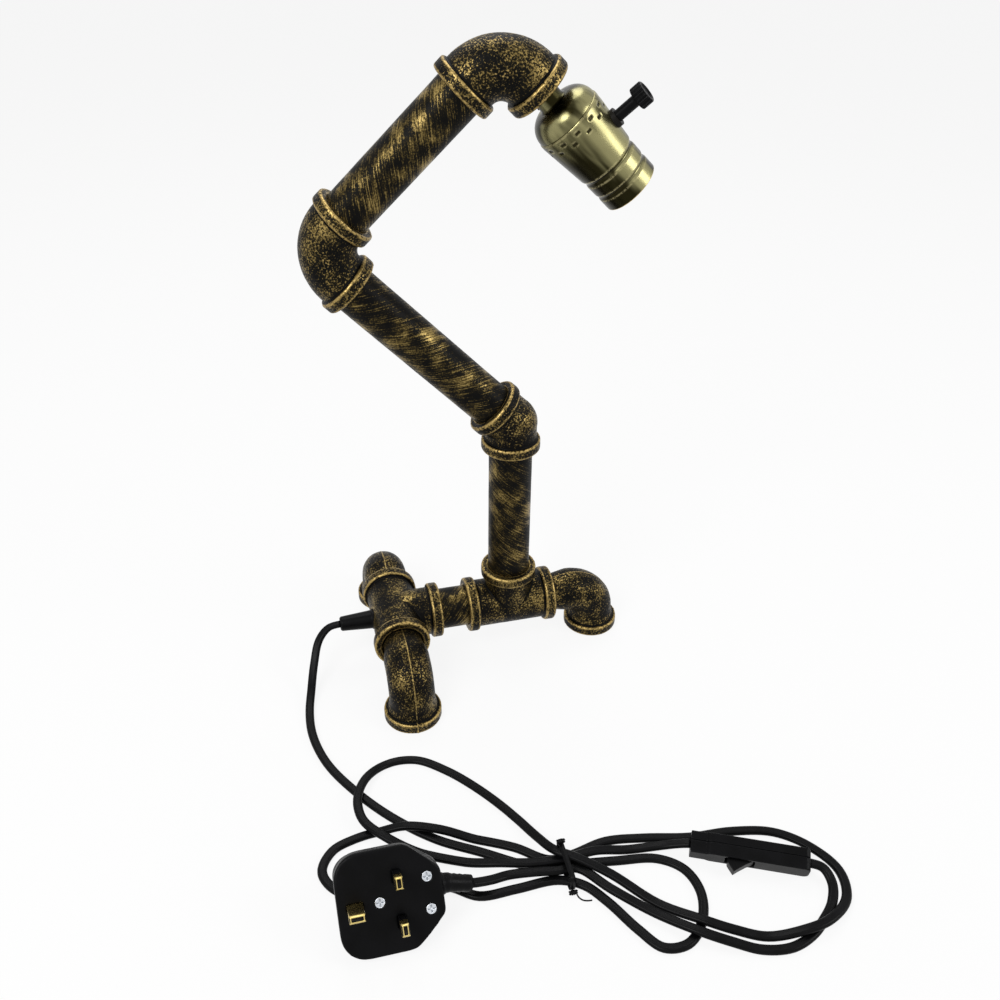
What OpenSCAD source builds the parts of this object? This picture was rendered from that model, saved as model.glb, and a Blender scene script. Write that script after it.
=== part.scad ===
// Pipe-fitting table lamp: three feet, a riser and two arms of threaded pipe, a lamp holder
// with a turn knob, and a flat cord with an in-line rocker switch and a three-pin plug.
// The origin is the middle of the lamp's footprint on the table. X runs along the base from
// the two-footed end to the single foot, Y runs to the rear foot and Z is up. Millimetres.

/* [Pipe] */
// Outside diameter of the pipe
pipe_od = 26.9; // [26:0.1:28]
// Wall thickness of the pipe
pipe_wall = 2.65; // [2.2:0.05:3.2]
// Cut length of the nipple between the two tees
nipple_len = 38; // [32:1:60]
// Cut length of the upright pipe
riser_len = 111; // [80:1:160]
// Cut length of the lower arm's pipe
lower_arm_len = 128; // [90:1:170]
// Cut length of the upper arm's pipe
upper_arm_len = 104; // [80:1:140]

/* [Fittings] */
// Wall of a fitting outside the pipe that it takes
fitting_wall = 2.3; // [2:0.1:3]
// Thickness of the collar outside the pipe
collar_wall = 4.65; // [4:0.05:5.5]
// Width of the collar round each mouth
collar_w = 7; // [5:0.25:7.5]
// Chamfer on the collar's edges
collar_chamfer = 0.8; // [0.4:0.1:1.2]
// Centre to face of the tees and the right-angle elbows
face_reach = 29.5; // [28.5:0.5:33]
// Corner to face of the half-bend elbow
half_reach = 17.5; // [17:0.5:20]
// Length of pipe screwed into each fitting
thread_len = 10; // [8:0.5:11]
// Bend radius of the right-angle elbows
elbow_bend_r = 22; // [20:0.5:23]
// Swell of the half-bend elbow at its corner
half_swell = 0.2; // [0.1:0.1:0.8]
// Radial clearance between a pipe end and its fitting
thread_gap = 0.05; // [0.02:0.01:0.1]
// Gap between two pieces that turn against each other
swivel_gap = 0.3; // [0.2:0.1:0.5]

/* [Feet] */
// Height of the base pipes' centre line above the table
stand_h = 31; // [29:0.5:36]
// Bend radius of a street elbow
foot_bend_r = 18; // [16.5:0.5:20]
// Wall of a street elbow's bend
foot_wall = 4.9; // [4:0.1:5.5]
// Bore of a street elbow
foot_bore = 19; // [16:0.5:20]
// Length of a street elbow's tail from the foot's centre line
foot_tail_len = 40.5; // [38:0.5:46]
// Diameter at the root of the tail's thread
tail_root_d = 24.8; // [24:0.2:26]
// Depth of the open socket under each foot
foot_socket_depth = 8; // [6:0.5:9]

/* [Pose] */
// Turn of the arms away from the base's line
riser_turn = -8; // [-40:1:40]

/* [Lamp holder] */
// Diameter of the threaded tube that carries the holder
stud_d = 10; // [9.5:0.1:10.5]
// Bore of the threaded tube
stud_bore = 7; // [6:0.2:7.4]
// Diameter of the neck on the cap
neck_d = 14.2; // [13.6:0.2:16]
// Length of the neck
neck_len = 9; // [7:0.5:12]
// Height of the cap's dome
dome_h = 10.5; // [9:0.5:12]
// Greatest diameter of the holder
holder_d = 37.8; // [37:0.2:40]
// Length of the holder's shell
shell_len = 51; // [49:0.5:54]
// Diameter of the shell at its mouth
mouth_d = 32; // [31.6:0.1:33]
// Thickness of the sheet brass
sheet_t = 0.7; // [0.5:0.05:0.8]
// Bore of the screw shell for the bulb's cap
bulb_bore_d = 26.5; // [26.4:0.05:26.8]
// Length of the screw shell
bulb_bore_len = 22; // [18:0.5:23]

/* [Knob] */
// Distance of the knob from the top of the shell
knob_drop = 17; // [16:0.5:18]
// Turn of the knob round the holder towards the front
knob_turn = 12; // [0:1:30]
// Diameter of the knob's shaft
knob_shaft_d = 6.2; // [5.6:0.1:6.6]
// Bare length of the shaft outside the holder
knob_shaft_len = 12.2; // [10:0.1:18]
// Diameter of the knob's head
knob_head_d = 12.2; // [11:0.2:14]
// Length of the knob's head
knob_head_len = 6.5; // [5:0.5:9]
// Radial clearance of the shaft in its bush
shaft_gap = 0.06; // [0.02:0.01:0.1]

/* [Cord] */
// Width of the flat cord
cord_w = 5.4; // [5:0.1:5.8]
// Thickness of the flat cord
cord_t = 3.4; // [3.2:0.1:3.8]
// Diameter of the lead inside the pipes
lead_d = 4.4; // [4:0.1:5]
// Length of the tapered cord sleeve outside the tee
sleeve_len = 21; // [20:1:26]
// Diameter of the cord sleeve at the tee
sleeve_d = 13.4; // [12:0.2:15]

/* [In-line switch] */
// Length of the switch
switch_len = 64; // [60:1:70]
// Width of the switch
switch_w = 12; // [12:0.5:15]
// Depth of the switch under the rocker
switch_depth = 12; // [12:0.5:15]
// Width of the rocker
rocker_w = 7; // [5:0.25:7.5]
// Full tilt of the rocker from one side to the other
rocker_tilt = 16; // [10:1:18]

/* [Plug] */
// Width of the plug across its line and neutral pins
plug_w = 52; // [50:1:54]
// Length of the plug along its earth pin's side
plug_l = 54; // [53:1:58]
// Thickness of the plug's base
plug_base_t = 8; // [7:0.5:9]
// Whole thickness of the plug without its pins
plug_t = 26; // [25:0.5:28]
// Tilt of the plug where it lies on its sloping side
plug_tilt = 48; // [46:1:50]
// Spacing of the pins from one another
pin_pitch = 22.2; // [22.1:0.05:22.3]

/* [Hidden] */
$fn = 64;

pipe_r = pipe_od / 2;
bore_r = pipe_r - pipe_wall;
socket_r = pipe_r + thread_gap;
body_r = pipe_r + fitting_wall;
collar_r = pipe_r + collar_wall;
seat_reach = face_reach - thread_len;
half_seat_reach = half_reach - thread_len;

// Distances between the fittings' corners
tee_gap = nipple_len + 2 * seat_reach;
foot_reach = seat_reach + foot_tail_len;
riser_h = seat_reach + swivel_gap + riser_len + half_seat_reach;
lower_h = half_seat_reach + lower_arm_len + swivel_gap + seat_reach;
upper_h = seat_reach + upper_arm_len + swivel_gap + seat_reach;

// The riser stands off the origin so that the footprint's middle is at the origin
arm_left = sin(45) * (lower_h - 2 * elbow_bend_r) + elbow_bend_r;
lamp_x_min = -arm_left * cos(riser_turn) - body_r;
lamp_x_max = foot_reach + collar_r;
riser_x = -(lamp_x_min + lamp_x_max) / 2;
left_x = riser_x - tee_gap;

// Colours
iron = "#4a3d1f";
iron_dark = "#2c2615";
brass_old = "#8a8358";
brass = "#c9a94e";
black = "#151515";
soft_black = "#1d1d1f";
zinc = "#b9bcc0";
fibre = "#8c7a5c";
copper = "#a8643a";

// Placing frames: each turns its children from the piece's own axes
module at_right_tee() translate([riser_x, 0, stand_h]) children();
module at_left_tee() translate([left_x, 0, stand_h]) children();
module at_stem() at_right_tee() rotate([0, 0, riser_turn]) children();
module at_half() at_stem() translate([0, 0, riser_h]) children();
module at_lower() at_half() rotate([0, -45, 0]) children();
module at_middle() at_lower() translate([0, 0, lower_h]) children();
module at_upper() at_middle() rotate([0, 90, 0]) children();
module at_top() at_upper() translate([0, 0, upper_h]) children();
module at_head() at_top() rotate([0, 90, 0]) translate([0, 0, face_reach]) children();

// A tube along Z from z0 to z1
module tube(z0, z1, r_out, r_in) {
  rotate_extrude()
    polygon([[r_in, z0], [r_out, z0], [r_out, z1], [r_in, z1]]);
}

// A round rod along Z from z0 to z1
module rod(z0, z1, r) {
  translate([0, 0, z0]) cylinder(r = r, h = z1 - z0);
}

// A bend whose corner is at the origin: it comes up Z and leaves at turn degrees towards +X
module bend(turn, bend_radius, tube_radius) {
  translate([bend_radius, 0, -bend_radius * tan(turn / 2)])
    rotate([90, 0, 0])
      rotate([0, 0, 180 - turn])
        rotate_extrude(angle = turn)
          translate([bend_radius, 0])
            circle(r = tube_radius);
}

// ---- threaded fittings ----

// One leg of a fitting along Z, from z0 to its face, with the collar at the end
module leg(z0, reach) {
  root = reach - collar_w;
  rotate_extrude()
    polygon([[0, z0], [body_r, z0], [body_r, root], [collar_r - collar_chamfer, root],
      [collar_r, root + collar_chamfer], [collar_r, reach - collar_chamfer],
      [collar_r - collar_chamfer, reach], [0, reach]]);
}

// The hollow of one leg: the passage from z0 and the threaded mouth
module leg_hollow(z0, reach, depth, passage_r) {
  rod(z0, reach, passage_r);
  rod(reach - depth, reach + 1, socket_r);
}

// An elbow with a collared mouth on both legs, its corner at the origin
module elbow(turn, reach, bend_radius) {
  leg_start = bend_radius * tan(turn / 2);
  difference() {
    union() {
      bend(turn, bend_radius, body_r);
      rotate([180, 0, 0]) leg(leg_start, reach);
      rotate([0, turn, 0]) leg(leg_start, reach);
    }
    bend(turn, bend_radius, bore_r);
    rotate([180, 0, 0]) leg_hollow(leg_start, reach, thread_len, bore_r);
    rotate([0, turn, 0]) leg_hollow(leg_start, reach, thread_len, bore_r);
  }
}

// A half-bend elbow: it comes up Z and leaves at half a right angle towards +X
module half_bend_elbow() {
  leg_turns = [[180, 0, 0], [0, 45, 0]];
  difference() {
    union() {
      for (turn = leg_turns) rotate(turn) leg(0, half_reach);
      sphere(r = body_r + half_swell);
    }
    for (turn = leg_turns) rotate(turn) leg_hollow(0, half_reach, thread_len, bore_r);
    sphere(r = bore_r + half_swell);
  }
}

// A tee: its run lies along X and its branch goes up Z
module tee() {
  leg_turns = [[0, 90, 0], [0, -90, 0], [0, 0, 0]];
  difference() {
    for (turn = leg_turns) rotate(turn) leg(0, face_reach);
    for (turn = leg_turns) rotate(turn) leg_hollow(0, face_reach, thread_len, bore_r);
  }
}

// A street elbow used as a foot: its tail lies along -X and its open collar stands on the table
module street_elbow() {
  bend_outer_r = foot_bore / 2 + foot_wall;
  passage_r = foot_bore / 2;
  root_r = tail_root_d / 2;
  tail_thread = foot_tail_len - thread_len;
  collar_top = stand_h - collar_w;
  difference() {
    union() {
      rotate([0, 0, 180]) bend(90, foot_bend_r, bend_outer_r);
      rotate([180, 0, 0])
        rotate_extrude()
          polygon([[0, foot_bend_r], [bend_outer_r, foot_bend_r], [body_r, collar_top],
            [collar_r - collar_chamfer, collar_top], [collar_r, collar_top + collar_chamfer],
            [collar_r, stand_h - collar_chamfer], [collar_r - collar_chamfer, stand_h],
            [0, stand_h]]);
      rotate([0, -90, 0])
        rotate_extrude()
          polygon([[0, foot_bend_r], [bend_outer_r, foot_bend_r], [root_r, tail_thread - 2],
            [root_r, tail_thread + 1], [pipe_r, tail_thread + 2], [pipe_r, foot_tail_len],
            [0, foot_tail_len]]);
    }
    rotate([0, 0, 180]) bend(90, foot_bend_r, passage_r);
    rotate([180, 0, 0]) leg_hollow(foot_bend_r, stand_h, foot_socket_depth, passage_r);
    rotate([0, -90, 0]) rod(foot_bend_r, foot_tail_len + 1, passage_r);
  }
}

// ---- base ----
module right_tee() {
  color(iron_dark) at_right_tee() tee();
}

// The left tee has a faced and drilled seat for the cord's sleeve on its far side
module left_tee() {
  color(iron_dark)
    at_left_tee()
      difference() {
        rotate(a = 120, v = [1, 1, 1]) tee();
        rotate([0, -90, 0]) rod(0, body_r + 1, sleeve_thread_r + thread_gap);
        rotate([0, -90, 0]) rod(sleeve_face, body_r + 1, sleeve_d / 2 + 0.4);
      }
}

module base_nipple() {
  color(iron)
    at_left_tee()
      rotate([0, 90, 0]) tube(seat_reach, seat_reach + nipple_len, pipe_r, bore_r);
}

module right_foot_elbow() {
  color(iron_dark) translate([riser_x + foot_reach, 0, stand_h]) street_elbow();
}

module front_foot_elbow() {
  color(iron_dark) translate([left_x, -foot_reach, stand_h]) rotate([0, 0, -90]) street_elbow();
}

module rear_foot_elbow() {
  color(iron_dark) translate([left_x, foot_reach, stand_h]) rotate([0, 0, 90]) street_elbow();
}

// The sleeve's own axis runs out of the tee, away from the riser
sleeve_thread_r = 5;
sleeve_seat = 1.6;
sleeve_face = body_r - sleeve_seat;
sleeve_tip = body_r + sleeve_len;
sleeve_tip_r = 4.8;
sleeve_bore_r = lead_d / 2 + 0.1;
sleeve_nut_r = 7.5;
sleeve_nut_t = 3;
sleeve_nut_face = sqrt(pow(bore_r, 2) - pow(sleeve_nut_r * cos(30), 2)) - 0.05;
module cord_sleeve() {
  color(black)
    at_left_tee()
      rotate([0, -90, 0])
        rotate_extrude()
          polygon([[sleeve_bore_r, sleeve_nut_face - sleeve_nut_t - 1],
            [sleeve_thread_r, sleeve_nut_face - sleeve_nut_t - 1], [sleeve_thread_r, sleeve_face],
            [sleeve_d / 2, sleeve_face], [sleeve_d / 2, sleeve_face + 1.4],
            [sleeve_d / 2 - 0.5, sleeve_face + 1.8], [sleeve_tip_r, sleeve_tip - 1],
            [sleeve_tip_r - 0.8, sleeve_tip], [sleeve_bore_r, sleeve_tip]]);
}

module cord_sleeve_nut() {
  color(black)
    at_left_tee()
      rotate([0, -90, 0])
        translate([0, 0, sleeve_nut_face - sleeve_nut_t])
          difference() {
            rotate([0, 0, 30]) cylinder(r = sleeve_nut_r, h = sleeve_nut_t, $fn = 6);
            rod(-1, sleeve_nut_t + 1, sleeve_thread_r + thread_gap);
          }
}

// ---- leads inside the pipes ----
lead_r = lead_d / 2;
lead_bend_r = 14;
lead_gap = swivel_gap / 2;

module base_lead() {
  color(soft_black)
    at_right_tee() {
      rotate([0, -90, 0]) rod(lead_bend_r, tee_gap + sleeve_tip, lead_r);
      rotate([180, 0, 0]) rotate([0, 90, 0]) bend(90, lead_bend_r, lead_r);
      rod(lead_bend_r, seat_reach - lead_gap, lead_r);
    }
}

module stem_lead() {
  tangent = lead_bend_r * tan(45 / 2);
  color(soft_black) {
    at_stem() rod(seat_reach + lead_gap, riser_h - tangent, lead_r);
    at_half() rotate([0, 0, 180]) bend(45, lead_bend_r, lead_r);
    at_lower() rod(tangent, lower_h - seat_reach - lead_gap, lead_r);
  }
}

module forearm_lead() {
  color(soft_black) {
    at_middle() rod(-seat_reach + lead_gap, -lead_bend_r, lead_r);
    at_middle() bend(90, lead_bend_r, lead_r);
    at_upper() rod(lead_bend_r, upper_h - seat_reach - lead_gap, lead_r);
  }
}

module head_lead() {
  color(soft_black) {
    at_top() rod(-seat_reach + lead_gap, -lead_bend_r, lead_r);
    at_top() bend(90, lead_bend_r, lead_r);
    at_head() rod(lead_bend_r - face_reach, lead_end, lead_r);
  }
}

// ---- stem and arms ----
module riser_pipe() {
  color(iron)
    at_stem() tube(seat_reach + swivel_gap, seat_reach + swivel_gap + riser_len, pipe_r, bore_r);
}

module half_elbow() {
  color(iron_dark) at_half() rotate([0, 0, 180]) half_bend_elbow();
}

module lower_arm_pipe() {
  color(iron) at_lower() tube(half_seat_reach, half_seat_reach + lower_arm_len, pipe_r, bore_r);
}

module middle_elbow() {
  color(iron_dark) at_middle() elbow(90, face_reach, elbow_bend_r);
}

module upper_arm_pipe() {
  color(iron) at_upper() tube(seat_reach, seat_reach + upper_arm_len, pipe_r, bore_r);
}

module top_elbow() {
  color(iron_dark) at_top() elbow(90, face_reach, elbow_bend_r);
}

// ---- lamp holder; its axis runs out of the top elbow from z = 0 at the elbow's face ----
stud_r = stud_d / 2;
bushing_recess = 1;
neck_top = neck_len - bushing_recess;
shell_top = neck_top + dome_h;
shell_end = shell_top + shell_len;
holder_r = holder_d / 2;
mouth_r = mouth_d / 2;
cap_r = holder_r - 0.5;
neck_r = neck_d / 2;
skirt_len = 9;
knob_z = shell_top + knob_drop;
stud_end = neck_top + 3;
lead_end = stud_end + 1;
stud_nut_t = 3;
stud_nut_r = 8;

module outlet_bushing() {
  color(iron_dark)
    at_head() tube(-thread_len, -bushing_recess, pipe_r, stud_r + thread_gap);
}

module threaded_stud() {
  color(brass)
    at_head() tube(-thread_len - stud_nut_t - 1, stud_end, stud_r, stud_bore / 2);
}

module stud_nut() {
  color(brass)
    at_head()
      translate([0, 0, -thread_len - stud_nut_t])
        difference() {
          cylinder(r = stud_nut_r, h = stud_nut_t, $fn = 6);
          rod(-1, stud_nut_t + 1, stud_r + thread_gap);
        }
}

// The cap's dome is a quarter of an ellipse in section
skirt_r = holder_r - sheet_t - 0.6;
function dome(inner_r, outer_r, z0, a) =
  [inner_r + (outer_r - inner_r) * sin(a), z0 + (shell_top - z0) * (1 - cos(a))];

module holder_cap() {
  color(brass_old)
    at_head()
      difference() {
        rotate_extrude()
          polygon(concat(
            [[stud_r + thread_gap, -bushing_recess], [neck_r - 0.4, -bushing_recess],
              [neck_r, -bushing_recess + 0.4], [neck_r, neck_top - 0.6]],
            [for (a = [0:10:90]) dome(neck_r + 1, cap_r, neck_top, a)],
            [[skirt_r, shell_top], [skirt_r, shell_top + skirt_len],
              [skirt_r - sheet_t, shell_top + skirt_len]],
            [for (a = [90:-10:0]) dome(neck_r, skirt_r - sheet_t, neck_top + sheet_t, a)],
            [[neck_r, neck_top + 3], [stud_r + thread_gap, neck_top + 3]]));
        set_screw_axis() rod(0, neck_r + 1, set_screw_r + thread_gap);
      }
}

// The set screw stands on the neck's lower side
set_screw_r = 1.5;
module set_screw_axis() {
  translate([0, 0, neck_top / 2]) rotate([0, 90, 0]) children();
}

module cap_set_screw() {
  color(brass)
    at_head()
      set_screw_axis()
        difference() {
          rod(stud_r + thread_gap, neck_r + 0.3, set_screw_r);
          translate([-0.3, -set_screw_r - 1, neck_r - 0.5]) cube([0.6, 2 * set_screw_r + 2, 2]);
        }
}

// The shell's outside: distance from its top and radius. It has two rolled grooves.
groove_r = mouth_r - 0.7;
waist_r = mouth_r + 0.5;
upper_groove = shell_len - 19;
lower_groove = shell_len - 9;
shell_outline = [[0, cap_r], [0.8, holder_r], [3, holder_r],
  [upper_groove - 2, waist_r], [upper_groove - 0.5, groove_r], [upper_groove + 0.5, groove_r],
  [upper_groove + 2, mouth_r + 0.1], [lower_groove - 1.5, mouth_r],
  [lower_groove - 0.5, groove_r], [lower_groove + 0.5, groove_r], [lower_groove + 2, mouth_r],
  [shell_len, mouth_r]];
crimp_count = 12;
module holder_shell() {
  last = len(shell_outline) - 1;
  color(brass_old)
    at_head()
      difference() {
        rotate_extrude()
          polygon(concat(
            [for (p = shell_outline) [p[1], shell_top + p[0]]],
            [for (i = [last:-1:0])
              [shell_outline[i][1] - sheet_t, shell_top + shell_outline[i][0]]]));
        for (i = [0:crimp_count - 1], row = [0, 1])
          rotate([0, 0, (i + row / 2) * 360 / crimp_count])
            translate([holder_r - 2, -1.3, shell_top + 3 + row * 3.6])
              cube([4, 2.6, 1.4]);
        knob_axis() rod(holder_r - 6, holder_r + 2, bush_r + thread_gap);
      }
}

liner_r = groove_r - sheet_t - 0.05;
liner_t = 0.5;
module shell_liner() {
  color(fibre) at_head() tube(body_end, shell_end - 1.5, liner_r, liner_r - liner_t);
}

// The insulating body carries the terminals, the turn switch and the screw shell
socket_body_r = waist_r - sheet_t + 0.1;
body_start = shell_top + 4.5;
body_end = knob_z + 8.5;
chamber_r = 5.4;
rotor_in = 3;
rotor_out = 11;
terminal_x = 8;
contact_r = 4.5;
contact_recess = 2.4;
module socket_body() {
  color(soft_black)
    at_head()
      difference() {
        rod(body_start, body_end, socket_body_r);
        knob_axis() rod(rotor_in - 0.5, rotor_out + 0.5, chamber_r);
        knob_axis() rod(rotor_out, holder_r + 1, knob_shaft_d / 2 + shaft_gap);
        rod(body_end - contact_recess, body_end + 1, contact_r + thread_gap);
        for (side = [-1, 1])
          translate([0, side * terminal_x, 0])
            rod(body_start - 1, body_start + 6, terminal_r + thread_gap);
      }
}

bulb_r = bulb_bore_d / 2;
screw_sheet_t = 0.4;
module screw_shell() {
  color(brass)
    at_head()
      rotate_extrude()
        polygon([[6, body_end], [bulb_r + screw_sheet_t, body_end],
          [bulb_r + screw_sheet_t, body_end + screw_sheet_t + bulb_bore_len],
          [bulb_r, body_end + screw_sheet_t + bulb_bore_len], [bulb_r, body_end + screw_sheet_t],
          [6, body_end + screw_sheet_t]]);
}

// The centre contact stands in a recess of the body, level with the screw shell's floor
module centre_contact() {
  seat = body_end - contact_recess;
  color(copper)
    at_head()
      rotate_extrude()
        polygon([[0, seat], [contact_r, seat], [contact_r, seat + 1], [contact_r - 2, body_end],
          [contact_r - 2.4, body_end + screw_sheet_t - 0.05], [0, body_end + screw_sheet_t - 0.05]]);
}

terminal_r = 1.75;
module terminal_screws() {
  color(brass)
    at_head()
      for (side = [-1, 1])
        translate([0, side * terminal_x, 0])
          difference() {
            union() {
              rod(body_start - 1.6, body_start, 3.2);
              rod(body_start - 0.1, body_start + 5, terminal_r);
            }
            translate([-4, -0.4, body_start - 2]) cube([8, 0.8, 1]);
          }
}

// Each core leaves the lead and goes under its terminal screw
core_r = 1;
module terminal_wires() {
  start = lead_end + core_r;
  drop = body_start - 1.7 - core_r - start;
  spread = terminal_x - lead_r + core_r;
  color(copper)
    at_head()
      for (side = [-1, 1])
        translate([0, side * (lead_r - core_r), start])
          rotate([-side * atan(spread / drop), 0, 0])
            rod(0, norm([spread, drop]), core_r);
}

// ---- knob; its axis crosses the holder's axis ----
bush_r = 5;
bush_out = 0.8;
shaft_r = knob_shaft_d / 2;
head_start = holder_r + bush_out + knob_shaft_len;
module knob_axis() {
  translate([0, 0, knob_z]) rotate([0, 0, 180 + knob_turn]) rotate([0, 90, 0]) children();
}

module knob_bush() {
  color(soft_black)
    at_head() knob_axis() tube(socket_body_r + 0.1, holder_r + bush_out, bush_r, shaft_r + shaft_gap);
}

knob_ribs = 18;
module switch_knob() {
  color(black)
    at_head()
      knob_axis()
        difference() {
          union() {
            rod(rotor_out, head_start, shaft_r);
            rotate_extrude()
              polygon([[0, head_start], [knob_head_d / 2, head_start],
                [knob_head_d / 2, head_start + knob_head_len - 0.6],
                [knob_head_d / 2 - 0.6, head_start + knob_head_len],
                [knob_head_d / 2 - 1.6, head_start + knob_head_len],
                [knob_head_d / 2 - 2, head_start + knob_head_len - 0.8],
                [0, head_start + knob_head_len - 0.8]]);
          }
          for (i = [0:knob_ribs - 1])
            rotate([0, 0, i * 360 / knob_ribs])
              translate([knob_head_d / 2 + 0.25, 0, head_start - 1])
                cylinder(r = 0.7, h = knob_head_len + 2, $fn = 16);
        }
}

module switch_rotor() {
  color(fibre)
    at_head()
      knob_axis()
        intersection() {
          rod(rotor_in, rotor_out, chamber_r - 0.4);
          translate([-chamber_r, -2.6, rotor_in]) cube([2 * chamber_r, 5.2, rotor_out - rotor_in]);
        }
}

// ---- flat cord ----
// The cord's routes, in the order that the current takes. The table's first layer is at 1.8.
lamp_exit = [left_x - sleeve_tip, 0, stand_h];
// Out of the sleeve, down to the table and round to the tie
route_from_lamp = [[-103, -1, 30], [-110, -6, 25], [-115, -16, 15], [-119, -30, 6], [-122, -46, 2],
  [-122, -66, 1.8], [-116, -90, 1.8], [-103, -114, 1.8], [-85, -138, 1.8], [-63, -159, 1.8],
  [-40, -173.5, 1.8], [-20, -186.5, 1.8], [-5, -193, 1.8], [7, -193, 1.8]];
// The small loop on the switch's side
route_small_loop = [[30, -196, 1.8], [52, -200, 1.8], [64, -210, 1.8], [67, -225, 1.8],
  [61, -241, 1.8], [49, -251.5, 1.8], [36, -250.5, 1.8], [27, -238, 1.8], [17, -219, 1.8],
  [8, -206.5, 1.8], [-5, -200, 1.8]];
// The loop that passes under the plug's raised back
route_plug_loop = [[-28, -200, 1.8], [-48, -199.5, 1.8], [-60, -191.5, 1.8], [-70, -186.5, 1.8],
  [-86, -184.5, 1.8], [-106, -184, 1.8], [-121, -178, 1.8], [-127, -165, 1.8],
  [-120, -153, 1.8], [-107, -148, 1.8], [-93, -146.5, 1.9], [-79, -149, 5.8], [-60, -155.5, 5.2],
  [-42, -164, 1.8], [-22, -174.5, 1.8], [-6, -186.5, 1.8], [7, -186.5, 1.8]];
// The wide loop that passes behind the switch
route_wide_loop = [[28, -182.5, 1.8], [50, -185.5, 1.8], [75, -191, 1.8], [100, -193, 1.8],
  [122, -199, 1.8], [137, -212, 1.8], [145.5, -230, 1.8], [140.5, -247, 3], [125, -258, 5.6],
  [108, -260.5, 5.4], [90, -257.5, 2], [74, -251, 4.2], [60.5, -243, 5.6], [42, -227, 3],
  [23, -206.5, 6.4], [7, -193.5, 9]];
// The upper loop on the lamp's side
route_upper_loop = [[-3, -186, 9], [-9, -172, 4.5], [-17, -154, 1.8], [-31, -132, 1.8],
  [-48, -112, 1.8], [-64, -100, 1.8], [-81, -99, 1.8], [-95, -109, 4.6], [-102, -124, 5.6],
  [-101, -139, 5.4], [-91, -153, 5.6], [-73, -166, 1.8], [-50, -177.5, 1.8], [-32, -184.5, 5],
  [-18, -188.5, 5.6], [-5, -190, 5.4], [7, -190, 5.4]];
// Along to the switch
route_into_switch = [[20, -189, 4.8], [38, -190.5, 1.8], [57, -193.5, 3.4], [65, -196.2, 5.8]];
// From the switch, through the tie to the plug
route_from_switch = [[135.5, -230, 6.4], [137, -238, 3.4], [132, -247.5, 1.8], [123, -255.5, 1.8],
  [112, -262.5, 1.8], [99, -266, 1.8], [84, -263.5, 2], [70, -257, 4.2], [55.5, -248, 5.6],
  [38, -231.5, 3.4], [20, -214, 5.4], [7, -198, 5.4], [-5, -196.5, 5.4], [-16, -194.5, 5.2],
  [-30, -192.5, 4.4], [-40.5, -194.8, 6.8]];

// The cord's section: a flat oval, its width level with the table
cord_sides = 10;
function unit(v) = v / norm(v);
function flat_oval(i) =
  let (a = 360 * (i + 0.5) / cord_sides)
    [cord_w / 2 * sign(cos(a)) * pow(abs(cos(a)), 0.8),
      cord_t / 2 * sign(sin(a)) * pow(abs(sin(a)), 0.8)];

// The direction of a route at one of its points
function heading(route, i) =
  i == 0 ? unit(route[1] - route[0])
    : i == len(route) - 1 ? unit(route[i] - route[i - 1])
    : unit(unit(route[i] - route[i - 1]) + unit(route[i + 1] - route[i]));

// One ring of the cord, square to the heading that is given
function ring(centre, along) =
  let (side = unit(cross([0, 0, 1], along)), up = cross(along, side))
    [for (i = [0:cord_sides - 1])
      let (p = flat_oval(i)) centre + side * p[0] + up * p[1]];

module cord(route, start, end) {
  last = len(route) - 1;
  points = [for (k = [0:last])
    each ring(route[k], k == 0 ? start : k == last ? end : heading(route, k))];
  sides = [for (k = [0:last - 1], i = [0:cord_sides - 1])
    let (a = k * cord_sides + i, b = k * cord_sides + (i + 1) % cord_sides)
      each [[a, b + cord_sides, b], [a, a + cord_sides, b + cord_sides]]];
  first_cap = [for (i = [1:cord_sides - 2]) [0, i, i + 1]];
  last_cap = [for (i = [1:cord_sides - 2])
    [last * cord_sides, last * cord_sides + i + 1, last * cord_sides + i]];
  polyhedron(points = points, faces = concat(sides, first_cap, last_cap), convexity = 20);
}

module cord_to_switch() {
  route = concat([lamp_exit], route_from_lamp, route_small_loop, route_plug_loop,
    route_wide_loop, route_upper_loop, route_into_switch, [switch_in]);
  color(soft_black) cord(route, [-1, 0, 0], switch_axis);
}

module cord_to_plug() {
  route = concat([switch_out], route_from_switch, [plug_exit]);
  color(soft_black) cord(route, switch_axis, -plug_cord_axis);
}

// The tie goes round all six strands; its ends are twisted together
tie_at = [1, -195.1, 0];
tie_half_w = 13.1;
tie_low = 0.05;
tie_top = 11.9;
tie_t = 0.9;
tie_len = 3;
module cord_tie() {
  color(black)
    translate(tie_at) {
      difference() {
        translate([-tie_len / 2, -tie_half_w, tie_low])
          cube([tie_len, 2 * tie_half_w, tie_top - tie_low]);
        translate([-tie_len, -tie_half_w + tie_t, tie_low - 1])
          cube([2 * tie_len, 2 * (tie_half_w - tie_t), tie_top - tie_t - tie_low + 1]);
      }
      translate([0, tie_half_w - 2.6, tie_top + 1.2]) rotate([0, 90, 0]) rod(-2.2, 2.2, 1.7);
      translate([0, -tie_half_w - 1.1, 1.9]) rotate([0, 90, 0]) rod(-2.2, 2.2, 1.7);
    }
}

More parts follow.
